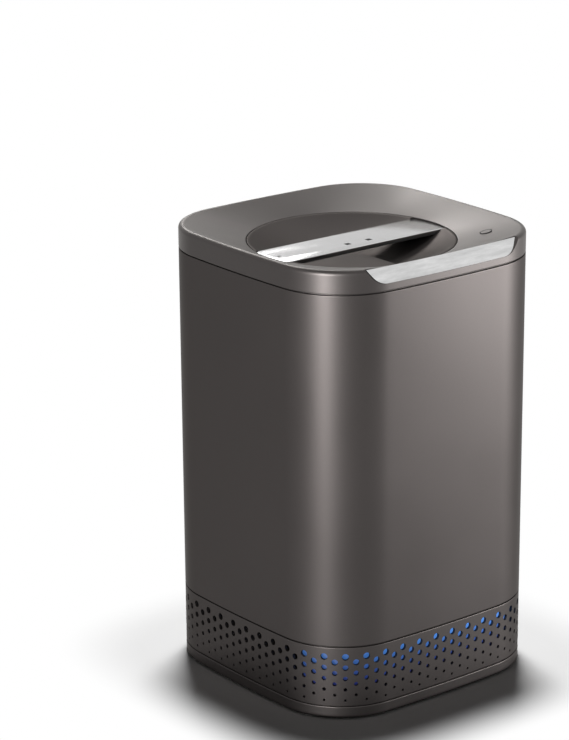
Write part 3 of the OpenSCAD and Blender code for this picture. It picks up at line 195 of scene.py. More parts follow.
# Bar handle with its windows and pip
BAR_FIT = 0.15 * MM
BAR_SLOT_REACH = 100 * MM
BAR_SLOT_TOP = 10 * MM
PLATE_THICK = 2.4 * MM
PLATE_EDGE_R = 0.4 * MM
BEAM_END_IN = 0.4 * MM
BEAM_SIDE_IN = 0.5 * MM
BEAM_GAP = 0.05 * MM
BEAM_EDGE_R = 0.6 * MM
WINDOWS_X = (-11 * MM, 11 * MM)
WINDOW_HALF = 2.5 * MM
WINDOW_FRONT = -10.6 * MM
WINDOW_BACK = -5.9 * MM
WINDOW_DEEP = 0.5 * MM
WINDOW_FIT = 0.1 * MM
PIP_PLACE = (-77 * MM, -2.4 * MM)
PIP_R = 1.4 * MM
PIP_CUT = 2 * MM
PIP_INK_R = 1.35 * MM
PIP_INK_TOP_R = 1.3 * MM
PIP_INK_THICK = 0.4 * MM
PIP_SIDES = 32

# Stage
CAMERA_PLACE = (-1.45669, -1.77011, 0.98332)
CAMERA_AIM = (0, 0, 0.16667)
CAMERA_LENS = 141.2
CAMERA_SHIFT = (-0.09075, 0.13219)
LAMP_AIM_Z = 0.2
FLOOR_R = 9.0
FLOOR_SHADE_NEAR = 0.148
FLOOR_SHADE_FAR = 0.215
WORLD_GREY = 0.80
WORLD_FILL = 0.03


class ComposterSizes(bpy.types.PropertyGroup):
    """Sizes of the casing and the lid."""

    body_width: FloatProperty(
        name="Body width", description="Width at the middle of the sides", default=0.240, unit="LENGTH"
    )
    side_radius: FloatProperty(
        name="Side radius", description="Radius of the bowed sides", default=1.200, unit="LENGTH"
    )
    corner_radius: FloatProperty(
        name="Corner radius", description="Radius of the upright corners", default=0.062, unit="LENGTH"
    )
    wall: FloatProperty(
        name="Wall", description="Wall of the casing pieces", default=0.0025, unit="LENGTH"
    )
    seam_gap: FloatProperty(
        name="Seam gap", description="Height of the shadow gap at a seam", default=0.001, unit="LENGTH"
    )
    seam_depth: FloatProperty(
        name="Seam depth", description="Depth of the shadow gap", default=0.0018, unit="LENGTH"
    )
    opening_radius: FloatProperty(
        name="Opening radius", description="Radius of the round opening", default=0.0864, unit="LENGTH"
    )
    dish_radius: FloatProperty(
        name="Dish radius", description="Radius of the dish in the lid", default=0.084, unit="LENGTH"
    )
    dish_depth: FloatProperty(
        name="Dish depth", description="Depth of the dish in the lid", default=0.020, unit="LENGTH"
    )
    vent_columns: IntProperty(
        name="Vent columns", description="Columns of holes round the whole band", default=48, min=24
    )
    vent_top_radius: FloatProperty(
        name="Top hole radius", description="Radius of the holes of the top row",
        default=0.0029, unit="LENGTH",
    )
    vent_low_radius: FloatProperty(
        name="Bottom hole radius", description="Radius of the holes of the lowest row",
        default=0.0011, unit="LENGTH",
    )


class ComposterColours(bpy.types.PropertyGroup):
    """Base colours of the finishes."""

    casing: FloatVectorProperty(
        name="Casing paint", description="Satin metallic paint of sleeve, band and skirt",
        subtype="COLOR", default=(0.052, 0.0465, 0.045),
    )
    collar: FloatVectorProperty(
        name="Collar paint", description="Satin metallic paint of collar and lid",
        subtype="COLOR", default=(0.054, 0.0485, 0.047),
    )
    bar: FloatVectorProperty(
        name="Bar metal", description="Brushed metal of the bar handle", subtype="COLOR",
        default=(0.42, 0.417, 0.415),
    )
    lip: FloatVectorProperty(
        name="Lip metal", description="Bright metal of the front lip", subtype="COLOR",
        default=(0.60, 0.60, 0.60),
    )
    glow: FloatVectorProperty(
        name="Glow", description="Light behind the front holes", subtype="COLOR",
        default=(0.075, 0.085, 0.52),
    )
    floor: FloatVectorProperty(
        name="Floor", description="Pale floor under the composter", subtype="COLOR",
        default=(0.60, 0.60, 0.60),
    )


# Shapes shared by the pieces


class Outline:
    """Plan of the body: four bowed sides joined by four corner arcs."""

    def __init__(self, sizes):
        self.side_r = sizes.side_radius
        self.corner_r = sizes.corner_radius
        self.bow = self.side_r - sizes.body_width / 2
        reach = self.side_r - self.corner_r
        span = math.sqrt(2) * self.bow
        self.corner = self.bow * math.sqrt(reach**2 - span**2 / 4) / span - self.bow / 2
        self.start = math.atan2(self.corner, self.corner + self.bow)
        self.side_len = self.side_r * self.start
        self.corner_len = self.corner_r * (math.pi / 2 - 2 * self.start)
        self.quarter = 2 * self.side_len + self.corner_len

    def at(self, along, inset=0.0):
        """Place and outward direction at a length along the outline from the middle of the +X side."""
        turns, rest = divmod(along, self.quarter)
        if rest < self.side_len:
            angle = rest / self.side_r
            centre, radius = Vector((-self.bow, 0, 0)), self.side_r
        elif rest < self.side_len + self.corner_len:
            angle = self.start + (rest - self.side_len) / self.corner_r
            centre, radius = Vector((self.corner, self.corner, 0)), self.corner_r
        else:
            angle = math.pi / 2 - (self.quarter - rest) / self.side_r
            centre, radius = Vector((0, -self.bow, 0)), self.side_r
        out = Vector((math.cos(angle), math.sin(angle), 0))
        turn = Matrix.Rotation(turns * math.pi / 2, 3, "Z")
        return turn @ (centre + out * (radius - inset)), turn @ out

    def stations(self, side_steps=10, corner_steps=28):
        """Lengths along the outline, closer together in the corners."""
        marks = [self.side_len * i / side_steps for i in range(side_steps)]
        marks += [self.side_len + self.corner_len * i / corner_steps for i in range(corner_steps)]
        marks += [
            self.side_len + self.corner_len + self.side_len * i / side_steps for i in range(side_steps)
        ]
        return [q * self.quarter + mark for q in range(4) for mark in marks]

    def ring(self, inset, height):
        return [self.at(s, inset)[0] + Vector((0, 0, height)) for s in self.stations()]

    def circle(self, radius, height):
        """Places on a circle in the same directions as the outline's stations."""
        places = []
        for s in self.stations():
            flat = self.at(s)[0]
            places.append(flat * (radius / flat.length) + Vector((0, 0, height)))
        return places


def circle_ring(radius, height, count):
    turns = [2 * math.pi * i / count for i in range(count)]
    return [Vector((radius * math.cos(t), radius * math.sin(t), height)) for t in turns]


def soften(points, radii, steps=3, closed=True, hold=0.6):
    """Rounds the corners of a profile, with a holding point on each side of every arc."""
    count = len(points)
    out = []
    for i, (point, radius) in enumerate(zip(points, radii)):
        here = Vector(point)
        if radius <= 0 or (not closed and i in (0, count - 1)):
            out.append(here)
            continue
        back = (Vector(points[i - 1]) - here).normalized()
        onward = (Vector(points[(i + 1) % count]) - here).normalized()
        half = math.acos(max(-1.0, min(1.0, back.dot(onward)))) / 2
        reach = radius / math.tan(half)
        centre = here + (back + onward).normalized() * (radius / math.sin(half))
        first, last = here + back * reach - centre, here + onward * reach - centre
        sweep = math.pi - 2 * half
        out.append(here + back * (reach + radius * hold))
        for k in range(steps + 1):
            t = k / steps
            mixed = first * math.sin((1 - t) * sweep) + last * math.sin(t * sweep)
            out.append(centre + mixed / math.sin(sweep))
        out.append(here + onward * (reach + radius * hold))
    return out


def loft(bm, rings, close=False):
    """Draws a skin from a first circle of vertices, extruded from ring to ring."""
    count = len(rings[0])
    verts = bmesh.ops.create_circle(bm, segments=count, radius=1.0)["verts"]
    for vert, place in zip(verts, rings[0]):
        vert.co = place
    start = verts
    for ring in rings[1:]:
        edges = [bm.edges.get((verts[i - 1], verts[i])) for i in range(count)]
        made = bmesh.ops.extrude_edge_only(bm, edges=edges)["geom"]
        fresh = {v for v in made if isinstance(v, bmesh.types.BMVert)}
        above = []
        for vert, place in zip(verts, ring):
            top = next(o for o in (e.other_vert(vert) for e in vert.link_edges) if o in fresh)
            top.co = place
            above.append(top)
        verts = above
    if close:
        edges = [bm.edges.get((ring[i - 1], ring[i])) for ring in (start, verts) for i in range(count)]
        bmesh.ops.bridge_loops(bm, edges=edges)


def tidy(bm, distance=TINY):
    bmesh.ops.remove_doubles(bm, verts=bm.verts, dist=distance)
    bmesh.ops.dissolve_degenerate(bm, dist=TINY / 10, edges=bm.edges)
    bmesh.ops.recalc_face_normals(bm, faces=bm.faces)


def plate(bm, outline, depth, matrix=None):
    """Closed plate: a flat outline in XY, extruded down by depth."""
    verts = [bm.verts.new((x, y, 0)) for x, y in outline]
    face = bm.faces.new(verts)
    made = bmesh.ops.extrude_face_region(bm, geom=[face])["geom"]
    low = [v for v in made if isinstance(v, bmesh.types.BMVert)]
    bmesh.ops.translate(bm, verts=low, vec=(0, 0, -depth))
    bmesh.ops.recalc_face_normals(bm, faces=bm.faces)
    if matrix is not None:
        bmesh.ops.transform(bm, matrix=matrix, verts=verts + low)
    return verts, low


def box(bm, low, high):
    made = bmesh.ops.create_cube(bm, size=1.0)["verts"]
    low, high = Vector(low), Vector(high)
    bmesh.ops.scale(bm, verts=made, vec=high - low)
    bmesh.ops.translate(bm, verts=made, vec=(low + high) / 2)


def finish_piece(bm, name, finish, body, replaces=(), angle=35):
    """Makes the object of a finished bmesh, with its finish, and sets it on its body."""
    mesh = bpy.data.meshes.new(name)
    bm.to_mesh(mesh)
    bm.free()
    piece = bpy.data.objects.new(name, mesh)
    bpy.context.scene.collection.objects.link(piece)
    mesh.materials.append(finish)
    smooth(mesh, angle)
    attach(piece, body)
    if replaces:
        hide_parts(*replaces)
    return piece


def smooth(mesh, angle):
    mesh.shade_smooth()
    mesh.set_sharp_from_angle(angle=math.radians(angle))


def carve(bm, cutter, operation="DIFFERENCE"):
    """The bmesh with another one cut from it or joined to it."""
    scene = bpy.context.scene
    objects = []
    for part in (bm, cutter):
        mesh = bpy.data.meshes.new("work")
        part.to_mesh(mesh)
        part.free()
        objects.append(bpy.data.objects.new("work", mesh))
        scene.collection.objects.link(objects[-1])
    cut = objects[0].modifiers.new("cut", "BOOLEAN")
    cut.operation = operation
    cut.solver = "EXACT"
    cut.object = objects[1]
    done = bmesh.new()
    graph = bpy.context.evaluated_depsgraph_get()
    done.from_object(objects[0], graph)
    for work in objects:
        mesh = work.data
        bpy.data.objects.remove(work)
        bpy.data.meshes.remove(mesh)
    return done


# Finishes


class Finish:
    """A material under construction: its shader, and short ways to add and join nodes."""

    def __init__(self, name, **sockets):
        self.material = bpy.data.materials.new(name)
        self.material.use_nodes = True
        self.tree = self.material.node_tree
        self.shader = self.tree.nodes["Principled BSDF"]
        for socket, value in sockets.items():
            self.shader.inputs[socket.replace("_", " ")].default_value = value
        self.place = self.tree.nodes.new("ShaderNodeTexCoord").outputs["Object"]

    def add(self, kind, sockets=(), **settings):
        node = self.tree.nodes.new("ShaderNode" + kind)
        for key, value in settings.items():
            setattr(node, key, value)
        for socket, value in dict(sockets).items():
            self.feed(node.inputs[socket], value)
        return node

    def feed(self, socket, value):
        if isinstance(value, bpy.types.NodeSocket):
            self.tree.links.new(value, socket)
        else:
            socket.default_value = value

    def math(self, operation, first, second):
        return self.add("Math", {0: first, 1: second}, operation=operation).outputs[0]

    def noise(self, scale, detail=3.0, stretch=(1, 1, 1), roughness=0.5):
        mapped = self.add("Mapping", {"Vector": self.place, "Scale": stretch})
        made = self.add(
            "TexNoise",
            {"Vector": mapped.outputs[0], "Scale": scale, "Detail": detail, "Roughness": roughness},
        )
        return made.outputs["Fac"]

    def scatter(self, scale):
        return self.add("TexVoronoi", {"Vector": self.place, "Scale": scale}).outputs

    def span(self, value, low, high, start=0.0, end=1.0):
        """A value from start to end, stretched to run from low to high."""
        made = self.add(
            "MapRange",
            {"Value": value, "From Min": start, "From Max": end, "To Min": low, "To Max": high},
        )
        return made.outputs[0]

    def blend(self, share, first, second):
        made = self.add("Mix", {"Factor": share}, data_type="RGBA")
        self.feed(made.inputs[6], (*first, 1) if len(tuple(first)) == 3 else first)
        self.feed(made.inputs[7], (*second, 1) if len(tuple(second)) == 3 else second)
        return made.outputs[2]

    def shades(self, value, colour, low, high):
        """The colour, darker and lighter by two factors as the value goes from 0 to 1."""
        dark = tuple(min(1.0, c * low) for c in colour)
        light = tuple(min(1.0, c * high) for c in colour)
        self.set("Base Color", self.blend(value, dark, light))

    def set(self, socket, value):
        self.feed(self.shader.inputs[socket], value)

    def bump(self, height, strength, distance):
        made = self.add("Bump", {"Height": height, "Strength": strength, "Distance": distance})
        self.set("Normal", made.outputs[0])


def metallic_paint(name, colour, roughness=0.42, rim=0.5):
    """Satin metallic paint: fine flake, slight orange peel, and a sheen at flat angles."""
    sheen = (rim, 0.99 * rim, 0.97 * rim, 1)
    made = Finish(name, Metallic=0.9, Specular_IOR_Level=0.4, Specular_Tint=sheen)
    flake = made.noise(2600, 2)
    made.shades(made.span(flake, 0, 1, 0.35, 0.65), colour, 0.93, 1.07)
    cloud = made.noise(9, 3)
    made.set("Roughness", made.span(cloud, roughness - 0.03, roughness + 0.03, 0.3, 0.7))
    made.bump(flake, 0.05, 0.00004)
    return made.material


def brushed_metal(name, colour, roughness, stretch, contrast=0.08):
    """Metal with fine lines along the axis whose stretch is small."""
    made = Finish(name, Metallic=1.0)
    lines = made.noise(60, 4, stretch, 0.65)
    made.shades(made.span(lines, 0, 1, 0.3, 0.7), colour, 1 - contrast, 1 + contrast)
    made.set("Roughness", made.span(lines, 0.8 * roughness, 1.2 * roughness, 0.3, 0.7))
    made.bump(lines, 0.12, 0.00005)
    return made.material


def turned_metal(name, colour, roughness):
    """Metal with lines round the upright axis, as spun or drawn parts have."""
    made = Finish(name, Metallic=1.0)
    split = made.add("SeparateXYZ", {"Vector": made.place})
    flat = made.add("CombineXYZ", {"X": split.outputs[0], "Y": split.outputs[1]})
    reach = made.add("VectorMath", {0: flat.outputs[0]}, operation="LENGTH")
    line = made.add("CombineXYZ", {"X": reach.outputs["Value"], "Z": split.outputs[2]})
    lines = made.add(
        "TexNoise", {"Vector": line.outputs[0], "Scale": 1500.0, "Detail": 3.0, "Roughness": 0.6}
    ).outputs["Fac"]
    made.shades(made.span(lines, 0, 1, 0.3, 0.7), colour, 0.92, 1.06)
    made.set("Roughness", made.span(lines, roughness - 0.05, roughness + 0.08, 0.3, 0.7))
    made.bump(lines, 0.15, 0.00004)
    return made.material


def moulded_plastic(name, colour, roughness=0.5):
    """Plastic with a fine spark-eroded grain."""
    made = Finish(name, Specular_IOR_Level=0.45)
    grain = made.noise(1400, 4)
    made.shades(made.noise(25, 3), colour, 0.9, 1.1)
    made.set("Roughness", made.span(grain, roughness - 0.06, roughness + 0.08, 0.3, 0.7))
    made.bump(grain, 0.25, 0.00006)
    return made.material


def rubber(name, colour):
    made = Finish(name, Specular_IOR_Level=0.3)
    dust = made.noise(60, 5)
    made.shades(made.span(dust, 0, 1, 0.35, 0.75), colour, 0.8, 1.5)
    made.set("Roughness", made.span(dust, 0.72, 0.9))
    made.bump(made.noise(900, 3), 0.3, 0.0001)
    return made.material


def non_stick(name, colour):
    """Dark coating with pale specks."""
    made = Finish(name, Metallic=0.25, Specular_IOR_Level=0.5)
    specks = made.scatter(900)["Distance"]
    share = made.span(specks, 1, 0, 0.08, 0.2)
    made.set("Base Color", made.blend(share, colour, tuple(4.5 * c for c in colour)))
    made.set("Roughness", made.span(made.noise(400, 4), 0.34, 0.5, 0.3, 0.7))
    made.bump(made.noise(700, 4), 0.2, 0.00008)
    return made.material


def zinc_plate(name, colour):
    """Zinc plated sheet with its spangle."""
    made = Finish(name, Metallic=1.0)
    spangle = made.scatter(140)["Color"]
    share = made.add("SeparateColor", {"Color": spangle}).outputs[0]
    made.shades(share, colour, 0.82, 1.1)
    made.set("Roughness", made.span(share, 0.3, 0.5))
    made.bump(made.noise(500, 3), 0.1, 0.00005)
    return made.material


def circuit_board(name, colour):
    """Solder mask over copper tracks."""
    made = Finish(name, Specular_IOR_Level=0.6)
    tracks = made.add(
        "TexBrick",
        {
            "Vector": made.place,
            "Scale": 140.0,
            "Mortar Size": 0.03,
            "Color1": (*colour, 1),
            "Color2": (*(0.8 * c for c in colour), 1),
            "Mortar": (*(2.2 * c for c in colour), 1),
        },
    )
    made.set("Base Color", tracks.outputs["Color"])
    made.set("Roughness", made.span(made.noise(300, 3), 0.25, 0.4))
    made.bump(tracks.outputs["Fac"], 0.3, 0.0001)
    return made.material


def carbon_felt(name, colour):
    made = Finish(name, Specular_IOR_Level=0.2, Roughness=0.95)
    fibres = made.noise(700, 6, (1, 1, 0.25), 0.75)
    made.shades(made.span(fibres, 0, 1, 0.3, 0.7), colour, 0.4, 2.2)
    made.bump(fibres, 0.8, 0.0005)
    return made.material


def lit_guide(name, colour, low, high, strength):
    """Light guide, brightest along its upper edge and towards +X."""
    made = Finish(name, Roughness=0.4)
    across, _, height = made.add("SeparateXYZ", {"Vector": made.place}).outputs
    share = made.span(height, 0, 1, low, high)
    spots = made.noise(70, 2)
    level = made.math("MULTIPLY", share, made.span(spots, 0.8, 1.2, 0.3, 0.7))
    made.set("Base Color", made.blend(share, tuple(0.3 * c for c in colour), colour))
    made.set("Emission Color", made.blend(share, colour, (0.10, 0.38, 1.0)))
    side = made.span(across, 0.25, 1.0, -0.1, 0.06)
    made.set("Emission Strength", made.span(made.math("MULTIPLY", level, side), 0.12, strength))
    return made.material


def printed_ink(name, colour):
    made = Finish(name, Specular_IOR_Level=0.02)
    made.shades(made.noise(900, 2), colour, 0.85, 1.15)
    made.set("Roughness", made.span(made.noise(500, 2), 0.45, 0.6))
    return made.material


def finish_of(key):
    """The material of one finish, made when it is first asked for."""
    colours = bpy.context.scene.composter_colours
    if key in bpy.data.materials:
        return bpy.data.materials[key]
    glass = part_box("light_guide")
    recipes = {
        "casing_paint": lambda: metallic_paint(key, tuple(colours.casing)),
        "collar_paint": lambda: metallic_paint(key, tuple(colours.collar), rim=0.9),
        "lid_paint": lambda: metallic_paint(key, tuple(colours.collar), rim=0.45),
        "bar_metal": lambda: brushed_metal(key, tuple(colours.bar), 0.15, (0.12, 40, 40)),
        "lip_metal": lambda: brushed_metal(key, tuple(colours.lip), 0.12, (0.5, 3, 3), 0.14),
        "ink": lambda: printed_ink(key, (0.02, 0.02, 0.02)),
        "black_rubber": lambda: rubber(key, (0.018, 0.018, 0.018)),
        "zinc": lambda: zinc_plate(key, (0.55, 0.56, 0.58)),
        "turned_steel": lambda: turned_metal(key, (0.58, 0.58, 0.59), 0.28),
        "liner_steel": lambda: turned_metal(key, (0.62, 0.62, 0.62), 0.3),
        "drawn_aluminium": lambda: turned_metal(key, (0.70, 0.70, 0.71), 0.35),
        "bin_coating": lambda: non_stick(key, (0.022, 0.022, 0.024)),
        "black_plastic": lambda: moulded_plastic(key, (0.03, 0.03, 0.032)),
        "felt": lambda: carbon_felt(key, (0.03, 0.03, 0.03)),
        "bronze": lambda: turned_metal(key, (0.55, 0.36, 0.17), 0.34),
        "nylon": lambda: moulded_plastic(key, (0.74, 0.71, 0.64), 0.42),
        "board_green": lambda: circuit_board(key, (0.02, 0.12, 0.05)),
        "guide": lambda: lit_guide(key, tuple(colours.glow), glass[0].z, glass[1].z, 1.1),
    }
    return recipes[key]()


SLOT_FINISH = {
    "taupe_metal": "casing_paint",
    "taupe_base": "casing_paint",
    "collar_lacquer": "collar_paint",
    "lid_lacquer": "lid_paint",
    "silver_trim": "lip_metal",
    "brushed_bar": "bar_metal",
    "key_face": "collar_paint",
    "black_rubber": "black_rubber",
    "galvanised": "zinc",
    "steel": "turned_steel",
    "brushed_liner": "liner_steel",
    "well_aluminium": "drawn_aluminium",
    "bin_coating": "bin_coating",
    "black_plastic": "black_plastic",
    "carbon_felt": "felt",
    "bronze": "bronze",
    "nylon": "nylon",
    "circuit_board": "board_green",
    "blue_light": "guide",
}


# Pieces


class ComposterOperator(bpy.types.Operator):
    """Step of the composter's build."""

    bl_idname = "composter.step"
    bl_label = "Composter Step"
    bl_options = {"REGISTER", "UNDO"}

    def execute(self, context):
        self.build(context.scene.composter_sizes, context.scene.composter_colours)
        return {"FINISHED"}

    def build(self, sizes, colours):
        raise NotImplementedError


class COMPOSTER_OT_frame_finishes(ComposterOperator):
    """Give each carried-over CAD node the finish of its material slot"""

    bl_idname = "composter.frame_finishes"
    bl_label = "Frame Finishes"

    def build(self, sizes, colours):
        for part in frame["record"]["subparts"]:
            node = frame["nodes"][part["node"]]
            node.data.materials.clear()
            node.data.materials.append(finish_of(SLOT_FINISH[part["material_slot"]]))


class COMPOSTER_OT_sleeve(ComposterOperator):
    """Plain sleeve with the openings for the filter box and the inlet"""

    bl_idname = "composter.sleeve"
    bl_label = "Sleeve"

    def build(self, sizes, colours):
        plan = Outline(sizes)
        low, high = SHELL_Z, COLLAR_Z
        deep, gap, wall = sizes.seam_depth, sizes.seam_gap, sizes.wall
        profile = soften(
            [(deep, low), (deep, low + gap), (0, low + gap), (0, high), (wall, high), (wall, low)],
            [0, 0, EDGE_R, EDGE_R, 0, 0],
        )
        bm = bmesh.new()
        loft(bm, [plan.ring(inset, z) for inset, z in profile], close=True)
        tidy(bm)
        windows = bmesh.new()
        rear = sizes.body_width / 2
        for node, margin in (("filter_drawer", DRAWER_FIT), ("inlet_socket", -INLET_LUG)):
            near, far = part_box(node)
            box(windows, (near.x - margin, rear - BACK_DEPTH, near.z - margin),
                (far.x + margin, rear + BACK_REACH, far.z + margin))
        bm = carve(bm, windows)
        finish_piece(bm, "sleeve", finish_of("casing_paint"), "casing", ["outer_shell"])


class COMPOSTER_OT_vent_band(ComposterOperator):
    """Perforated band, drawn flat with its holes and bent round the outline"""

    bl_idname = "composter.vent_band"
    bl_label = "Vent Band"

    def build(self, sizes, colours):
        plan = Outline(sizes)
        columns = sizes.vent_columns
        length = 4 * plan.quarter
        step = length / columns / 4
        pitch, rows = VENT_PITCH, VENT_ROWS
        top = SHELL_Z - VENT_DROP
        low = VENT_Z + sizes.seam_gap
        floor_z = top - pitch * rows
        ceiling_z = floor_z + pitch * (rows + 1)
        # One tile of the sheet, with a column of holes at its left and a staggered one at its right
        bm = bmesh.new()
        bmesh.ops.create_grid(bm, x_segments=4, y_segments=rows + 1, size=1.0)
        for vert in bm.verts:
            across, up = (vert.co.x + 1) / 2, (vert.co.y + 1) / 2
            vert.co = ((4 * across - 1) * step, 0, floor_z + up * (ceiling_z - floor_z))
        middles = {}
        for vert in bm.verts:
            column, row = round(vert.co.x / step), round((top - vert.co.z) / pitch)
            if 0 <= row < rows and column in (0, 2) and (column // 2 + row) % 2 == 1:
                middles[vert] = row
        share = (sizes.vent_top_radius - sizes.vent_low_radius) / (rows - 1)
        for middle, row in middles.items():
            place = middle.co - Vector((0, pitch, 0))
            rim = {e for f in middle.link_faces for e in f.edges if middle not in e.verts}
            radius = sizes.vent_top_radius - share * row
            ring = bmesh.ops.create_circle(
                bm, segments=HOLE_SIDES, radius=radius,
                matrix=Matrix.Translation(place) @ Matrix.Rotation(math.pi / 2, 4, "X"),
            )["verts"]
            hole = {e for v in ring for e in v.link_edges}
            bmesh.ops.delete(bm, geom=[middle], context="VERTS")
            bmesh.ops.bridge_loops(bm, edges=list(rim | hole))
            for vert in ring:
                vert.co.y = 0
        for level, target in ((ceiling_z, SHELL_Z), (floor_z, low)):
            edges = [e for e in bm.edges if all(abs(v.co.z - level) < TINY for v in e.verts)]
            made = bmesh.ops.extrude_edge_only(bm, edges=edges)["geom"]
            verts = [v for v in made if isinstance(v, bmesh.types.BMVert)]
            bmesh.ops.translate(bm, verts=verts, vec=(0, 0, target - level))
        tile = list(bm.verts) + list(bm.edges) + list(bm.faces)
        for k in range(1, columns):
            made = bmesh.ops.duplicate(bm, geom=tile)["geom"]
            verts = [v for v in made if isinstance(v, bmesh.types.BMVert)]
            bmesh.ops.translate(bm, verts=verts, vec=(4 * step * k, 0, 0))
        bmesh.ops.remove_doubles(bm, verts=bm.verts, dist=TINY)
        made = bmesh.ops.extrude_face_region(bm, geom=list(bm.faces))["geom"]
        verts = [v for v in made if isinstance(v, bmesh.types.BMVert)]
        bmesh.ops.translate(bm, verts=verts, vec=(0, sizes.wall, 0))
        # Step into the seam under the band
        under = [f for f in bm.faces if all(abs(v.co.z - low) < TINY for v in f.verts)]
        for depth, fall in ((sizes.seam_depth, 0), (0, sizes.seam_gap)):
            made = bmesh.ops.extrude_face_region(bm, geom=under)["geom"]
            bmesh.ops.delete(bm, geom=under, context="FACES")
            under = [f for f in made if isinstance(f, bmesh.types.BMFace)]
            for vert in (v for v in made if isinstance(v, bmesh.types.BMVert)):
                vert.co.y = max(vert.co.y, depth)
                vert.co.z -= fall
        ends = [
            f for f in bm.faces
            if all(v.co.x < TINY - step for v in f.verts)
            or all(v.co.x > length - step - TINY for v in f.verts)
        ]
        bmesh.ops.delete(bm, geom=ends, context="FACES")
        rims = [
            e for e in bm.edges
            if all(abs(v.co.y) < TINY for v in e.verts)
            and any(all(abs(v.co.z - z) < TINY for v in e.verts) for z in (SHELL_Z, low))
        ]
        bmesh.ops.bevel(
            bm, geom=rims, offset=EDGE_R, segments=3, profile=0.5, affect="EDGES", material=-1
        )
        for vert in bm.verts:
            flat, _ = plan.at(vert.co.x, vert.co.y)
            vert.co = (flat.x, flat.y, vert.co.z)
        tidy(bm, 2 * TINY)
        piece = finish_piece(
            bm, "vent_sleeve", finish_of("casing_paint"), "casing", ["vent_band"]
        )
        straighten(piece.data, plan)


def straighten(mesh, plan):
    """Turns the normals of the band's outside to those of the outline itself."""
    places = [plan.at(s) for s in plan.stations(side_steps=40, corner_steps=120)]
    normals = [Vector()] * len(mesh.loops)
    near = {}
    for vert in mesh.vertices:
        key = (round(vert.co.x, 5), round(vert.co.y, 5))
        if key not in near:
            flat = Vector((vert.co.x, vert.co.y, 0))
            near[key] = min(places, key=lambda p: (p[0] - flat).length_squared)[1]
    for face in mesh.polygons:
        for loop in face.loop_indices:
            co = mesh.vertices[mesh.loops[loop].vertex_index].co
            out = near[(round(co.x, 5), round(co.y, 5))]
            if face.normal.dot(out) > OUTSIDE_COS:
                normals[loop] = out
    mesh.normals_split_custom_set(normals)


class COMPOSTER_OT_base(ComposterOperator):
    """Base tray with its skirt, and the rubber feet"""

    bl_idname = "composter.base"
    bl_label = "Base Tray and Feet"

    def build(self, sizes, colours):
        plan = Outline(sizes)
        low, high = SKIRT_Z, VENT_Z
        inner = sizes.wall + TONGUE_IN
        outer = inner - TONGUE_THICK
        profile = soften(
            [(SKIRT_LIP, low), (SKIRT_LIP, SKIRT_LIFT), (0, SKIRT_LIFT), (0, high), (outer, high),
             (outer, high + TRAY_TONGUE), (inner, high + TRAY_TONGUE), (inner, low + TRAY_FLOOR)],
            [0, SKIRT_INNER_R, SKIRT_R, EDGE_R, 0, 0, 0, 0],
            steps=5, closed=False,
        )
        under, above = ([Vector((0, 0, z))] * len(plan.stations()) for z in (low, low + TRAY_FLOOR))
        bm = bmesh.new()
        loft(bm, [under, *(plan.ring(inset, z) for inset, z in profile), above])
        tidy(bm)
        slots = bmesh.new()
        for k in range(-SLOTS_A_SIDE, SLOTS_A_SIDE + 1):
            x = k * SLOT_PITCH
            box(slots, (x - SLOT_HALF, -SLOT_REACH, low - MM),
                (x + SLOT_HALF, SLOT_REACH, low + SLOT_HEIGHT))
        bm = carve(bm, slots)
        offset = plan.corner + POST_OFFSET
        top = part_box("deck")[0].z
        height = top - low - POST_SINK
        posts = bmesh.new()
        for sx, sy in CORNERS:
            bmesh.ops.create_cone(
                posts, cap_ends=True, segments=POST_SIDES, radius1=POST_R, radius2=POST_R,
                depth=height,
                matrix=Matrix.Translation((sx * offset, sy * offset, top - height / 2)),
            )
        bm = carve(bm, posts, "UNION")
        finish_piece(bm, "skirt_tray", finish_of("casing_paint"), "casing", ["base_tray"])
        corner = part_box("rubber_feet")[1]
        profile = soften(
            [(0, 0), (FOOT_R - FOOT_EDGE_IN, 0), (FOOT_R, FOOT_EDGE_UP), (FOOT_R, low), (0, low)],
            [0, FOOT_ROUND, FOOT_ROUND, 0, 0], closed=False,
        )
        feet = bmesh.new()
        for sx, sy in CORNERS:
            centre = Vector((sx * (corner.x - FOOT_R), sy * (corner.y - FOOT_R), 0))
            loft(feet, [[p + centre for p in circle_ring(r, z, FOOT_SIDES)] for r, z in profile])
        tidy(feet)
        finish_piece(feet, "feet", finish_of("black_rubber"), "casing", ["rubber_feet"])


def lip_frame():
    """Frame of the lip: X along it, Y up its slope, Z out of it, at its lower middle."""
    slope = math.atan2(LIP_DEPTH, LIP_HEIGHT)
    return Matrix.Translation((0, CAD_BOX[0][1], RIM_Z - LIP_HEIGHT)) @ Matrix.Rotation(
        math.pi / 2 - slope, 4, "X"
    )


def lip_outline(grow, top):
    """Lip seen across its slope: a straight foot, round lower corners and ends that lean outward."""
    lean = (LIP_TOP_HALF - LIP_LOW_HALF) / LIP_RISE
    side = soften(
        [(0, -grow), (LIP_LOW_HALF + grow, -grow), (LIP_LOW_HALF + grow + lean * top, top), (0, top)],
        [0, LIP_CORNER_R, 0, 0], steps=12, closed=False, hold=0.2,
    )[1:-1]
    return [tuple(place) for place in side] + [(-x, v) for x, v in reversed(side)]


def bow_to_front(bm, plan):
    """Splits a flat piece into upright strips and bends it to the bow of the front side."""
    for k in range(-BOW_STRIPS, BOW_STRIPS + 1):
        bmesh.ops.bisect_plane(
            bm, geom=list(bm.verts) + list(bm.edges) + list(bm.faces), dist=TINY / 10,
            plane_co=(k * BOW_STEP, 0, 0), plane_no=(1, 0, 0),
        )
    for vert in bm.verts:
        vert.co.y += plan.side_r - math.sqrt(plan.side_r**2 - vert.co.x**2)


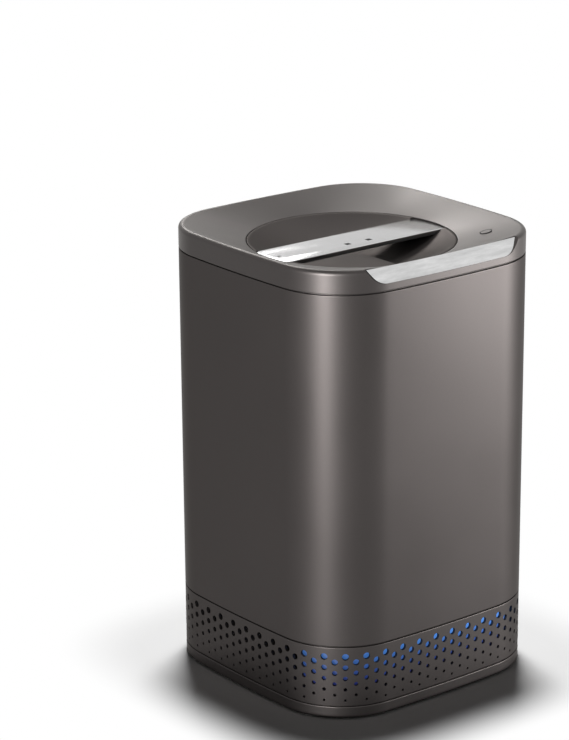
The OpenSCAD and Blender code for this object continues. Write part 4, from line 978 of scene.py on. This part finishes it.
class COMPOSTER_OT_collar(ComposterOperator):
    """Funnel collar with its rounded rim, opening, ledge and the seat of the lip"""

    bl_idname = "composter.collar"
    bl_label = "Collar"

    def build(self, sizes, colours):
        plan = Outline(sizes)
        wall, deep, low = sizes.wall, sizes.seam_depth, COLLAR_Z + sizes.seam_gap
        open_r = sizes.opening_radius
        outer = soften(
            [(deep, COLLAR_Z), (deep, low), (0, low), (0, RIM_Z - RIM_R)],
            [0, 0, EDGE_R, 0], closed=False,
        )
        rings = [plan.ring(inset, z) for inset, z in outer[:-1]]
        rings.append(plan.ring(0, RIM_Z - RIM_R - RIM_HOLD))
        for k in range(RIM_STEPS + 1):
            a = math.pi / 2 * k / RIM_STEPS
            rings.append(plan.ring(RIM_R * (1 - math.cos(a)), RIM_Z - RIM_R + RIM_R * math.sin(a)))
        edge = plan.ring(RIM_R + RIM_FLAT, RIM_Z)
        throat = plan.circle(open_r, LID_Z)
        crest = [a.lerp(b, CREST_SHARE) for a, b in zip(edge, throat)]
        for place in crest:
            place.z = RIM_Z
        rings.append(crest)
        rings += [[a.lerp(b, share) for a, b in zip(edge, throat)] for share in FUNNEL_SHARES]
        for k in range(1, THROAT_STEPS + 1):
            a = math.pi / 2 * k / THROAT_STEPS
            height = LID_Z + THROAT_RISE - THROAT_R * (1 - math.cos(a))
            rings.append(plan.circle(open_r + THROAT_R - THROAT_R * math.sin(a), height))
        ledge_r, ledge_z = open_r - LEDGE_WIDTH, LEDGE_LOW + LEDGE_THICK
        rings += [
            plan.circle(r, z) for r, z in (
                (open_r, ledge_z), (ledge_r, ledge_z), (ledge_r, LEDGE_LOW), (LEDGE_REACH, LEDGE_LOW),
                (LEDGE_REACH, ledge_z), (open_r + wall, ledge_z), (open_r + wall, LID_Z - THROAT_DROP),
            )
        ]
        inner, foot = wall + TONGUE_IN, COLLAR_Z - COLLAR_TONGUE
        rings += [
            plan.ring(inset, z) for inset, z in (
                (inner + TONGUE_THICK, RIM_Z - ROOF_DROP), (inner, RIM_Z - ROOF_DROP - MM),
                (inner, foot), (inner - TONGUE_THICK, foot), (inner - TONGUE_THICK, COLLAR_Z),
            )
        ]
        bm = bmesh.new()
        loft(bm, rings, close=True)
        tidy(bm)
        # The seat itself, then the room in front of it
        for rise, depth, flare in ((0, LIP_THICK, 1.0), (SEAT_RISE, SEAT_RISE + SEAT_LAP, SEAT_FLARE)):
            seat = bmesh.new()
            top, _ = plate(seat, lip_outline(SEAM_FIT, SEAT_TOP), depth)
            bmesh.ops.scale(seat, verts=top, vec=(flare, 1, 1))
            place = lip_frame() @ Matrix.Translation((0, 0, rise))
            bmesh.ops.transform(seat, matrix=place, verts=seat.verts)
            bow_to_front(seat, plan)
            bm = carve(bm, seat)
        hole = bmesh.new()
        bmesh.ops.create_cone(
            hole, cap_ends=True, segments=KEY_SIDES, radius1=KEY_HOLE_R, radius2=KEY_HOLE_R,
            depth=KEY_HOLE_DEPTH, matrix=key_frame(),
        )
        bm = carve(bm, hole)
        paint = finish_of("collar_paint")
        finish_piece(bm, "funnel_collar", paint, "casing", ["top_collar"])


def key_frame():
    """Frame of the power key: origin on the funnel, Z along its normal."""
    low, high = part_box("power_key")
    press = next(j for j in frame["joints"] if j["name"] == "key_press")["axis"]
    out = -Vector(press)
    middle = (low + high) / 2
    turn = out.to_track_quat("Z", "Y").to_matrix().to_4x4()
    return Matrix.Translation(middle + out * KEY_STAND) @ turn


class COMPOSTER_OT_lip(ComposterOperator):
    """Bright lip let into the front of the rim"""

    bl_idname = "composter.lip"
    bl_label = "Front Lip"

    def build(self, sizes, colours):
        bm = bmesh.new()
        plate(bm, lip_outline(0, LIP_RISE), LIP_THICK, lip_frame())
        bow_to_front(bm, Outline(sizes))
        finish_piece(bm, "bright_lip", finish_of("lip_metal"), "casing", ["front_lip"])


class COMPOSTER_OT_power_key(ComposterOperator):
    """Power key with the dark ring round it"""

    bl_idname = "composter.power_key"
    bl_label = "Power Key"

    def build(self, sizes, colours):
        matrix = key_frame()
        bm = bmesh.new()
        low, high = -KEY_CAP_DEPTH, KEY_CAP_PROUD
        profile = soften(
            [(0, low), (KEY_CAP_R, low), (KEY_CAP_R, high), (0, high)],
            [0, 0, KEY_EDGE_R, 0], closed=False,
        )
        loft(bm, [circle_ring(r, z, KEY_SIDES) for r, z in profile])
        tidy(bm)
        bmesh.ops.transform(bm, matrix=matrix, verts=bm.verts)
        finish_piece(bm, "key_cap", finish_of("collar_paint"), "key", ["power_key"])
        sign = bmesh.new()
        inner, outer = KEY_RING_R - KEY_RING_HALF, KEY_RING_R + KEY_RING_HALF
        low, high = KEY_RING_PROUD - KEY_RING_THICK, KEY_RING_PROUD
        corners = [(inner, low), (outer, low), (outer, high), (inner, high), (inner, low)]
        loft(sign, [circle_ring(r, z, KEY_SIDES) for r, z in corners])
        tidy(sign)
        bmesh.ops.transform(sign, matrix=matrix, verts=sign.verts)
        finish_piece(sign, "key_sign", finish_of("ink"), "key")


def lens_outline(reach):
    """Plan of the flat plate at the lid's front left, and how many places its inner edge has."""
    back = (-math.sqrt(reach**2 - LENS_BACK**2), -LENS_BACK)
    side = (-LENS_SIDE, -math.sqrt(reach**2 - LENS_SIDE**2))
    corner = (-LENS_SIDE, -LENS_BACK)
    inner = soften([side, corner, back], [0, LENS_CORNER_R, 0], steps=16, closed=False)
    first, last = (math.atan2(y, x) + 2 * math.pi for x, y in (back, side))
    turns = [first + (last - first) * k / LENS_STEPS for k in range(1, LENS_STEPS)]
    outer = [(reach * math.cos(a), reach * math.sin(a)) for a in turns]
    return [tuple(place) for place in inner] + outer, len(inner)


class COMPOSTER_OT_lid(ComposterOperator):
    """Round lid: dish, and a flat plate at the front left beside the finger pocket"""

    bl_idname = "composter.lid"
    bl_label = "Lid"

    def build(self, sizes, colours):
        dish_r = sizes.dish_radius
        plug_r, edge_z = LID_R - PLUG_INSET, LID_Z - LID_EDGE
        profile = soften(
            [(0, PLUG_Z), (plug_r, PLUG_Z), (plug_r, edge_z), (LID_R, edge_z), (LID_R, LID_Z),
             (dish_r, LID_Z)],
            [0, EDGE_R, 0, LID_UNDER_R, LID_TOP_R, 0], closed=False,
        )
        for k in range(DISH_RINGS - 1, -1, -1):
            share = k / DISH_RINGS
            profile.append((dish_r * share, LID_Z - sizes.dish_depth * (1 - share**2)))
        bm = bmesh.new()
        loft(bm, [circle_ring(r, z, LID_SIDES) for r, z in profile])
        tidy(bm)
        lens = bmesh.new()
        outline, edge_count = lens_outline(dish_r + LENS_LAP)
        top, _ = plate(lens, outline, LENS_THICK)
        edges = [lens.edges.get(pair) for pair in zip(top[:edge_count - 1], top[1:edge_count])]
        bmesh.ops.bevel(
            lens, geom=edges, offset=EDGE_R, segments=3, profile=0.5, affect="EDGES", material=-1
        )
        bmesh.ops.translate(lens, verts=lens.verts, vec=(0, 0, LID_Z))
        bm = carve(bm, lens, "UNION")
        slot = bmesh.new()
        half = BAR_HIGH.y + BAR_FIT
        box(slot, (-BAR_SLOT_REACH, -half, BAR_LOW.z), (BAR_SLOT_REACH, half, LID_Z + BAR_SLOT_TOP))
        bm = carve(bm, slot)
        finish_piece(bm, "lid_dish", finish_of("lid_paint"), "lid", ["lid_body"])


class COMPOSTER_OT_bar(ComposterOperator):
    """Brushed bar handle with its two small windows and its pip"""

    bl_idname = "composter.bar"
    bl_label = "Bar Handle"

    def build(self, sizes, colours):
        top = BAR_HIGH.z
        plate_low = top - PLATE_THICK
        bm = self.slab(BAR_HIGH.x, BAR_HIGH.y, plate_low, top, PLATE_EDGE_R)
        cutter = bmesh.new()
        for x in WINDOWS_X:
            box(cutter, (x - WINDOW_HALF, WINDOW_FRONT, top - WINDOW_DEEP),
                (x + WINDOW_HALF, WINDOW_BACK, top + MM))
        bmesh.ops.create_cone(
            cutter, cap_ends=True, segments=PIP_SIDES, radius1=PIP_R, radius2=PIP_R, depth=PIP_CUT,
            matrix=Matrix.Translation((*PIP_PLACE, top - WINDOW_DEEP + PIP_CUT / 2)),
        )
        bm = carve(bm, cutter)
        finish_piece(bm, "bar_handle", finish_of("bar_metal"), "lid", ["lid_bar"])
        beam = self.slab(
            BAR_HIGH.x - BEAM_END_IN, BAR_HIGH.y - BEAM_SIDE_IN, BAR_LOW.z, plate_low - BEAM_GAP,
            BEAM_EDGE_R,
        )
        finish_piece(beam, "bar_beam", finish_of("black_plastic"), "lid")
        marks = bmesh.new()
        half = WINDOW_HALF - WINDOW_FIT
        for x in WINDOWS_X:
            box(marks, (x - half, WINDOW_FRONT + WINDOW_FIT, top - WINDOW_DEEP - WINDOW_FIT),
                (x + half, WINDOW_BACK - WINDOW_FIT, top - WINDOW_FIT))
        bmesh.ops.bevel(
            marks, geom=marks.edges, offset=WINDOW_FIT, segments=2, profile=0.5, affect="EDGES",
            material=-1,
        )
        bmesh.ops.create_cone(
            marks, cap_ends=True, segments=PIP_SIDES, radius1=PIP_INK_R, radius2=PIP_INK_TOP_R,
            depth=PIP_INK_THICK, matrix=Matrix.Translation((*PIP_PLACE, top - PIP_INK_THICK)),
        )
        finish_piece(marks, "bar_windows", finish_of("ink"), "lid")

    def slab(self, reach, half, low, high, round_off):
        """Bar between two heights, whose ends follow the lid's edge."""
        turn = math.asin(half / reach)
        steps = 16
        ends = [-turn + 2 * turn * k / steps for k in range(steps + 1)]
        outline = [(reach * math.cos(a), reach * math.sin(a)) for a in ends]
        outline += [(-x, -y) for x, y in outline]
        bm = bmesh.new()
        top, foot = plate(bm, outline, high - low)
        bmesh.ops.translate(bm, verts=bm.verts, vec=(0, 0, high))
        rims = [
            e for e in bm.edges
            if all(v in top for v in e.verts) or all(v in foot for v in e.verts)
        ]
        bmesh.ops.bevel(
            bm, geom=rims, offset=round_off, segments=3, profile=0.5, affect="EDGES", material=-1
        )
        return bm


class COMPOSTER_OT_stage(ComposterOperator):
    """Floor, lights, surroundings and the camera at the photograph's angle"""

    bl_idname = "composter.stage"
    bl_label = "Stage"

    def build(self, sizes, colours):
        scene = bpy.context.scene
        scene.view_settings.view_transform = "Standard"
        self.floor(tuple(colours.floor))
        self.surroundings(scene)
        # Direction and elevation in degrees, distance, width and height in metres, watts, and whether
        # the lamp lights the floor and plain surfaces or only shows as a mirrored shape
        for name, azimuth, elevation, away, width, height, power, shades in (
            ("corner_strip", 207, 8, 1.7, 0.25, 1.0, 70, False),
            ("front_box", 318, 1, 1.9, 0.6, 0.6, 72, False),
            ("right_box", 64, 36, 1.9, 0.5, 0.4, 11, False),
            ("sky_box", 30, 45, 1.9, 1.0, 0.7, 2.2, False),
            ("top_box", 52, 68, 1.9, 0.45, 0.45, 62, True),
        ):
            lamp = self.lamp(scene, name, azimuth, elevation, away, width, height, power)
            lamp.visible_diffuse, lamp.visible_glossy = shades, not shades
            lamp.visible_camera = False
        view = bpy.data.cameras.new("camera")
        view.lens = CAMERA_LENS
        view.shift_x, view.shift_y = CAMERA_SHIFT
        view.clip_start, view.clip_end = 0.1, 50
        camera = bpy.data.objects.new("camera", view)
        scene.collection.objects.link(camera)
        camera.location = CAMERA_PLACE
        aim = Vector(CAMERA_AIM) - camera.location
        camera.rotation_mode = "QUATERNION"
        camera.rotation_quaternion = aim.to_track_quat("-Z", "Y")
        scene.camera = camera

    def lamp(self, scene, name, azimuth, elevation, away, width, height, power):
        light = bpy.data.lights.new(name, "AREA")
        light.shape = "RECTANGLE"
        light.size, light.size_y = width, height
        light.energy = power
        lamp = bpy.data.objects.new(name, light)
        scene.collection.objects.link(lamp)
        a, e = math.radians(azimuth), math.radians(elevation)
        out = Vector((math.cos(a) * math.cos(e), math.sin(a) * math.cos(e), math.sin(e)))
        lamp.location = out * away + Vector((0, 0, LAMP_AIM_Z))
        lamp.rotation_mode = "QUATERNION"
        lamp.rotation_quaternion = out.to_track_quat("Z", "Y")
        return lamp

    def floor(self, colour):
        bm = bmesh.new()
        bmesh.ops.create_circle(bm, cap_ends=True, segments=96, radius=FLOOR_R)
        mesh = bpy.data.meshes.new("floor")
        bm.to_mesh(mesh)
        bm.free()
        made = Finish("floor_sheet", Roughness=0.8, Specular_IOR_Level=0.1)
        made.shades(made.noise(2.5, 4), colour, 0.985, 1.015)
        made.bump(made.noise(300, 3), 0.05, 0.0002)
        # Distance from the middle, measured so that it follows the squarish plan of the body
        split = made.add("SeparateXYZ", {"Vector": made.place})
        fourth = [made.math("POWER", split.outputs[k], 4.0) for k in (0, 1)]
        reach = made.math("POWER", made.math("ADD", *fourth), 0.25)
        far = made.add(
            "MapRange", {"Value": reach, "From Min": FLOOR_SHADE_NEAR, "From Max": FLOOR_SHADE_FAR},
            interpolation_type="SMOOTHSTEP",
        ).outputs[0]
        path = made.add("LightPath").outputs
        seen = made.math("MAXIMUM", path["Is Camera Ray"], path["Is Glossy Ray"])
        seen = made.math("MAXIMUM", seen, path["Is Transmission Ray"])
        white = made.add("Emission", {"Color": (1, 1, 1, 1), "Strength": 1.0})
        share = made.math("MULTIPLY", seen, far)
        mix = made.add("MixShader", {0: share, 1: made.shader.outputs[0], 2: white.outputs[0]})
        out = made.tree.nodes["Material Output"]
        made.tree.links.new(mix.outputs[0], out.inputs["Surface"])
        mesh.materials.append(made.material)
        floor = bpy.data.objects.new("floor", mesh)
        bpy.context.scene.collection.objects.link(floor)

    def surroundings(self, scene):
        world = bpy.data.worlds.new("surroundings")
        scene.world = world
        world.use_nodes = True
        tree = world.node_tree
        back = tree.nodes["Background"]
        back.inputs["Color"].default_value = (WORLD_GREY, WORLD_GREY, WORLD_GREY, 1)
        back.inputs["Strength"].default_value = WORLD_FILL
        seen = tree.nodes.new("ShaderNodeBackground")
        seen.inputs["Color"].default_value = (1, 1, 1, 1)
        seen.inputs["Strength"].default_value = 1.0
        path = tree.nodes.new("ShaderNodeLightPath").outputs
        either = path["Is Camera Ray"]
        for ray in ("Is Glossy Ray", "Is Transmission Ray"):
            most = tree.nodes.new("ShaderNodeMath")
            most.operation = "MAXIMUM"
            tree.links.new(either, most.inputs[0])
            tree.links.new(path[ray], most.inputs[1])
            either = most.outputs[0]
        mix = tree.nodes.new("ShaderNodeMixShader")
        tree.links.new(either, mix.inputs[0])
        tree.links.new(back.outputs[0], mix.inputs[1])
        tree.links.new(seen.outputs[0], mix.inputs[2])
        tree.links.new(mix.outputs[0], tree.nodes["World Output"].inputs["Surface"])


PIECES = (
    COMPOSTER_OT_frame_finishes,
    COMPOSTER_OT_sleeve,
    COMPOSTER_OT_vent_band,
    COMPOSTER_OT_base,
    COMPOSTER_OT_collar,
    COMPOSTER_OT_lip,
    COMPOSTER_OT_power_key,
    COMPOSTER_OT_lid,
    COMPOSTER_OT_bar,
    COMPOSTER_OT_stage,
)


class COMPOSTER_PT_panel(bpy.types.Panel):
    """Lists the steps that build the composter"""

    bl_label = "Composter"
    bl_idname = "COMPOSTER_PT_panel"
    bl_space_type = "VIEW_3D"
    bl_region_type = "UI"
    bl_category = "Composter"

    def draw(self, context):
        layout = self.layout
        for group in (context.scene.composter_sizes, context.scene.composter_colours):
            column = layout.column(align=True)
            for key in group.__annotations__:
                column.prop(group, key)
        column = layout.column(align=True)
        for piece in PIECES:
            column.operator(piece.bl_idname)


CLASSES = (ComposterSizes, ComposterColours, *PIECES, COMPOSTER_PT_panel)


def register():
    for item in CLASSES:
        bpy.utils.register_class(item)
    bpy.types.Scene.composter_sizes = PointerProperty(type=ComposterSizes)
    bpy.types.Scene.composter_colours = PointerProperty(type=ComposterColours)


def unregister():
    del bpy.types.Scene.composter_colours
    del bpy.types.Scene.composter_sizes
    for item in reversed(CLASSES):
        bpy.utils.unregister_class(item)


def main():
    register()
    for piece in PIECES:
        group, step = piece.bl_idname.split(".")
        getattr(getattr(bpy.ops, group), step)()


if __name__ == "__main__":
    main()
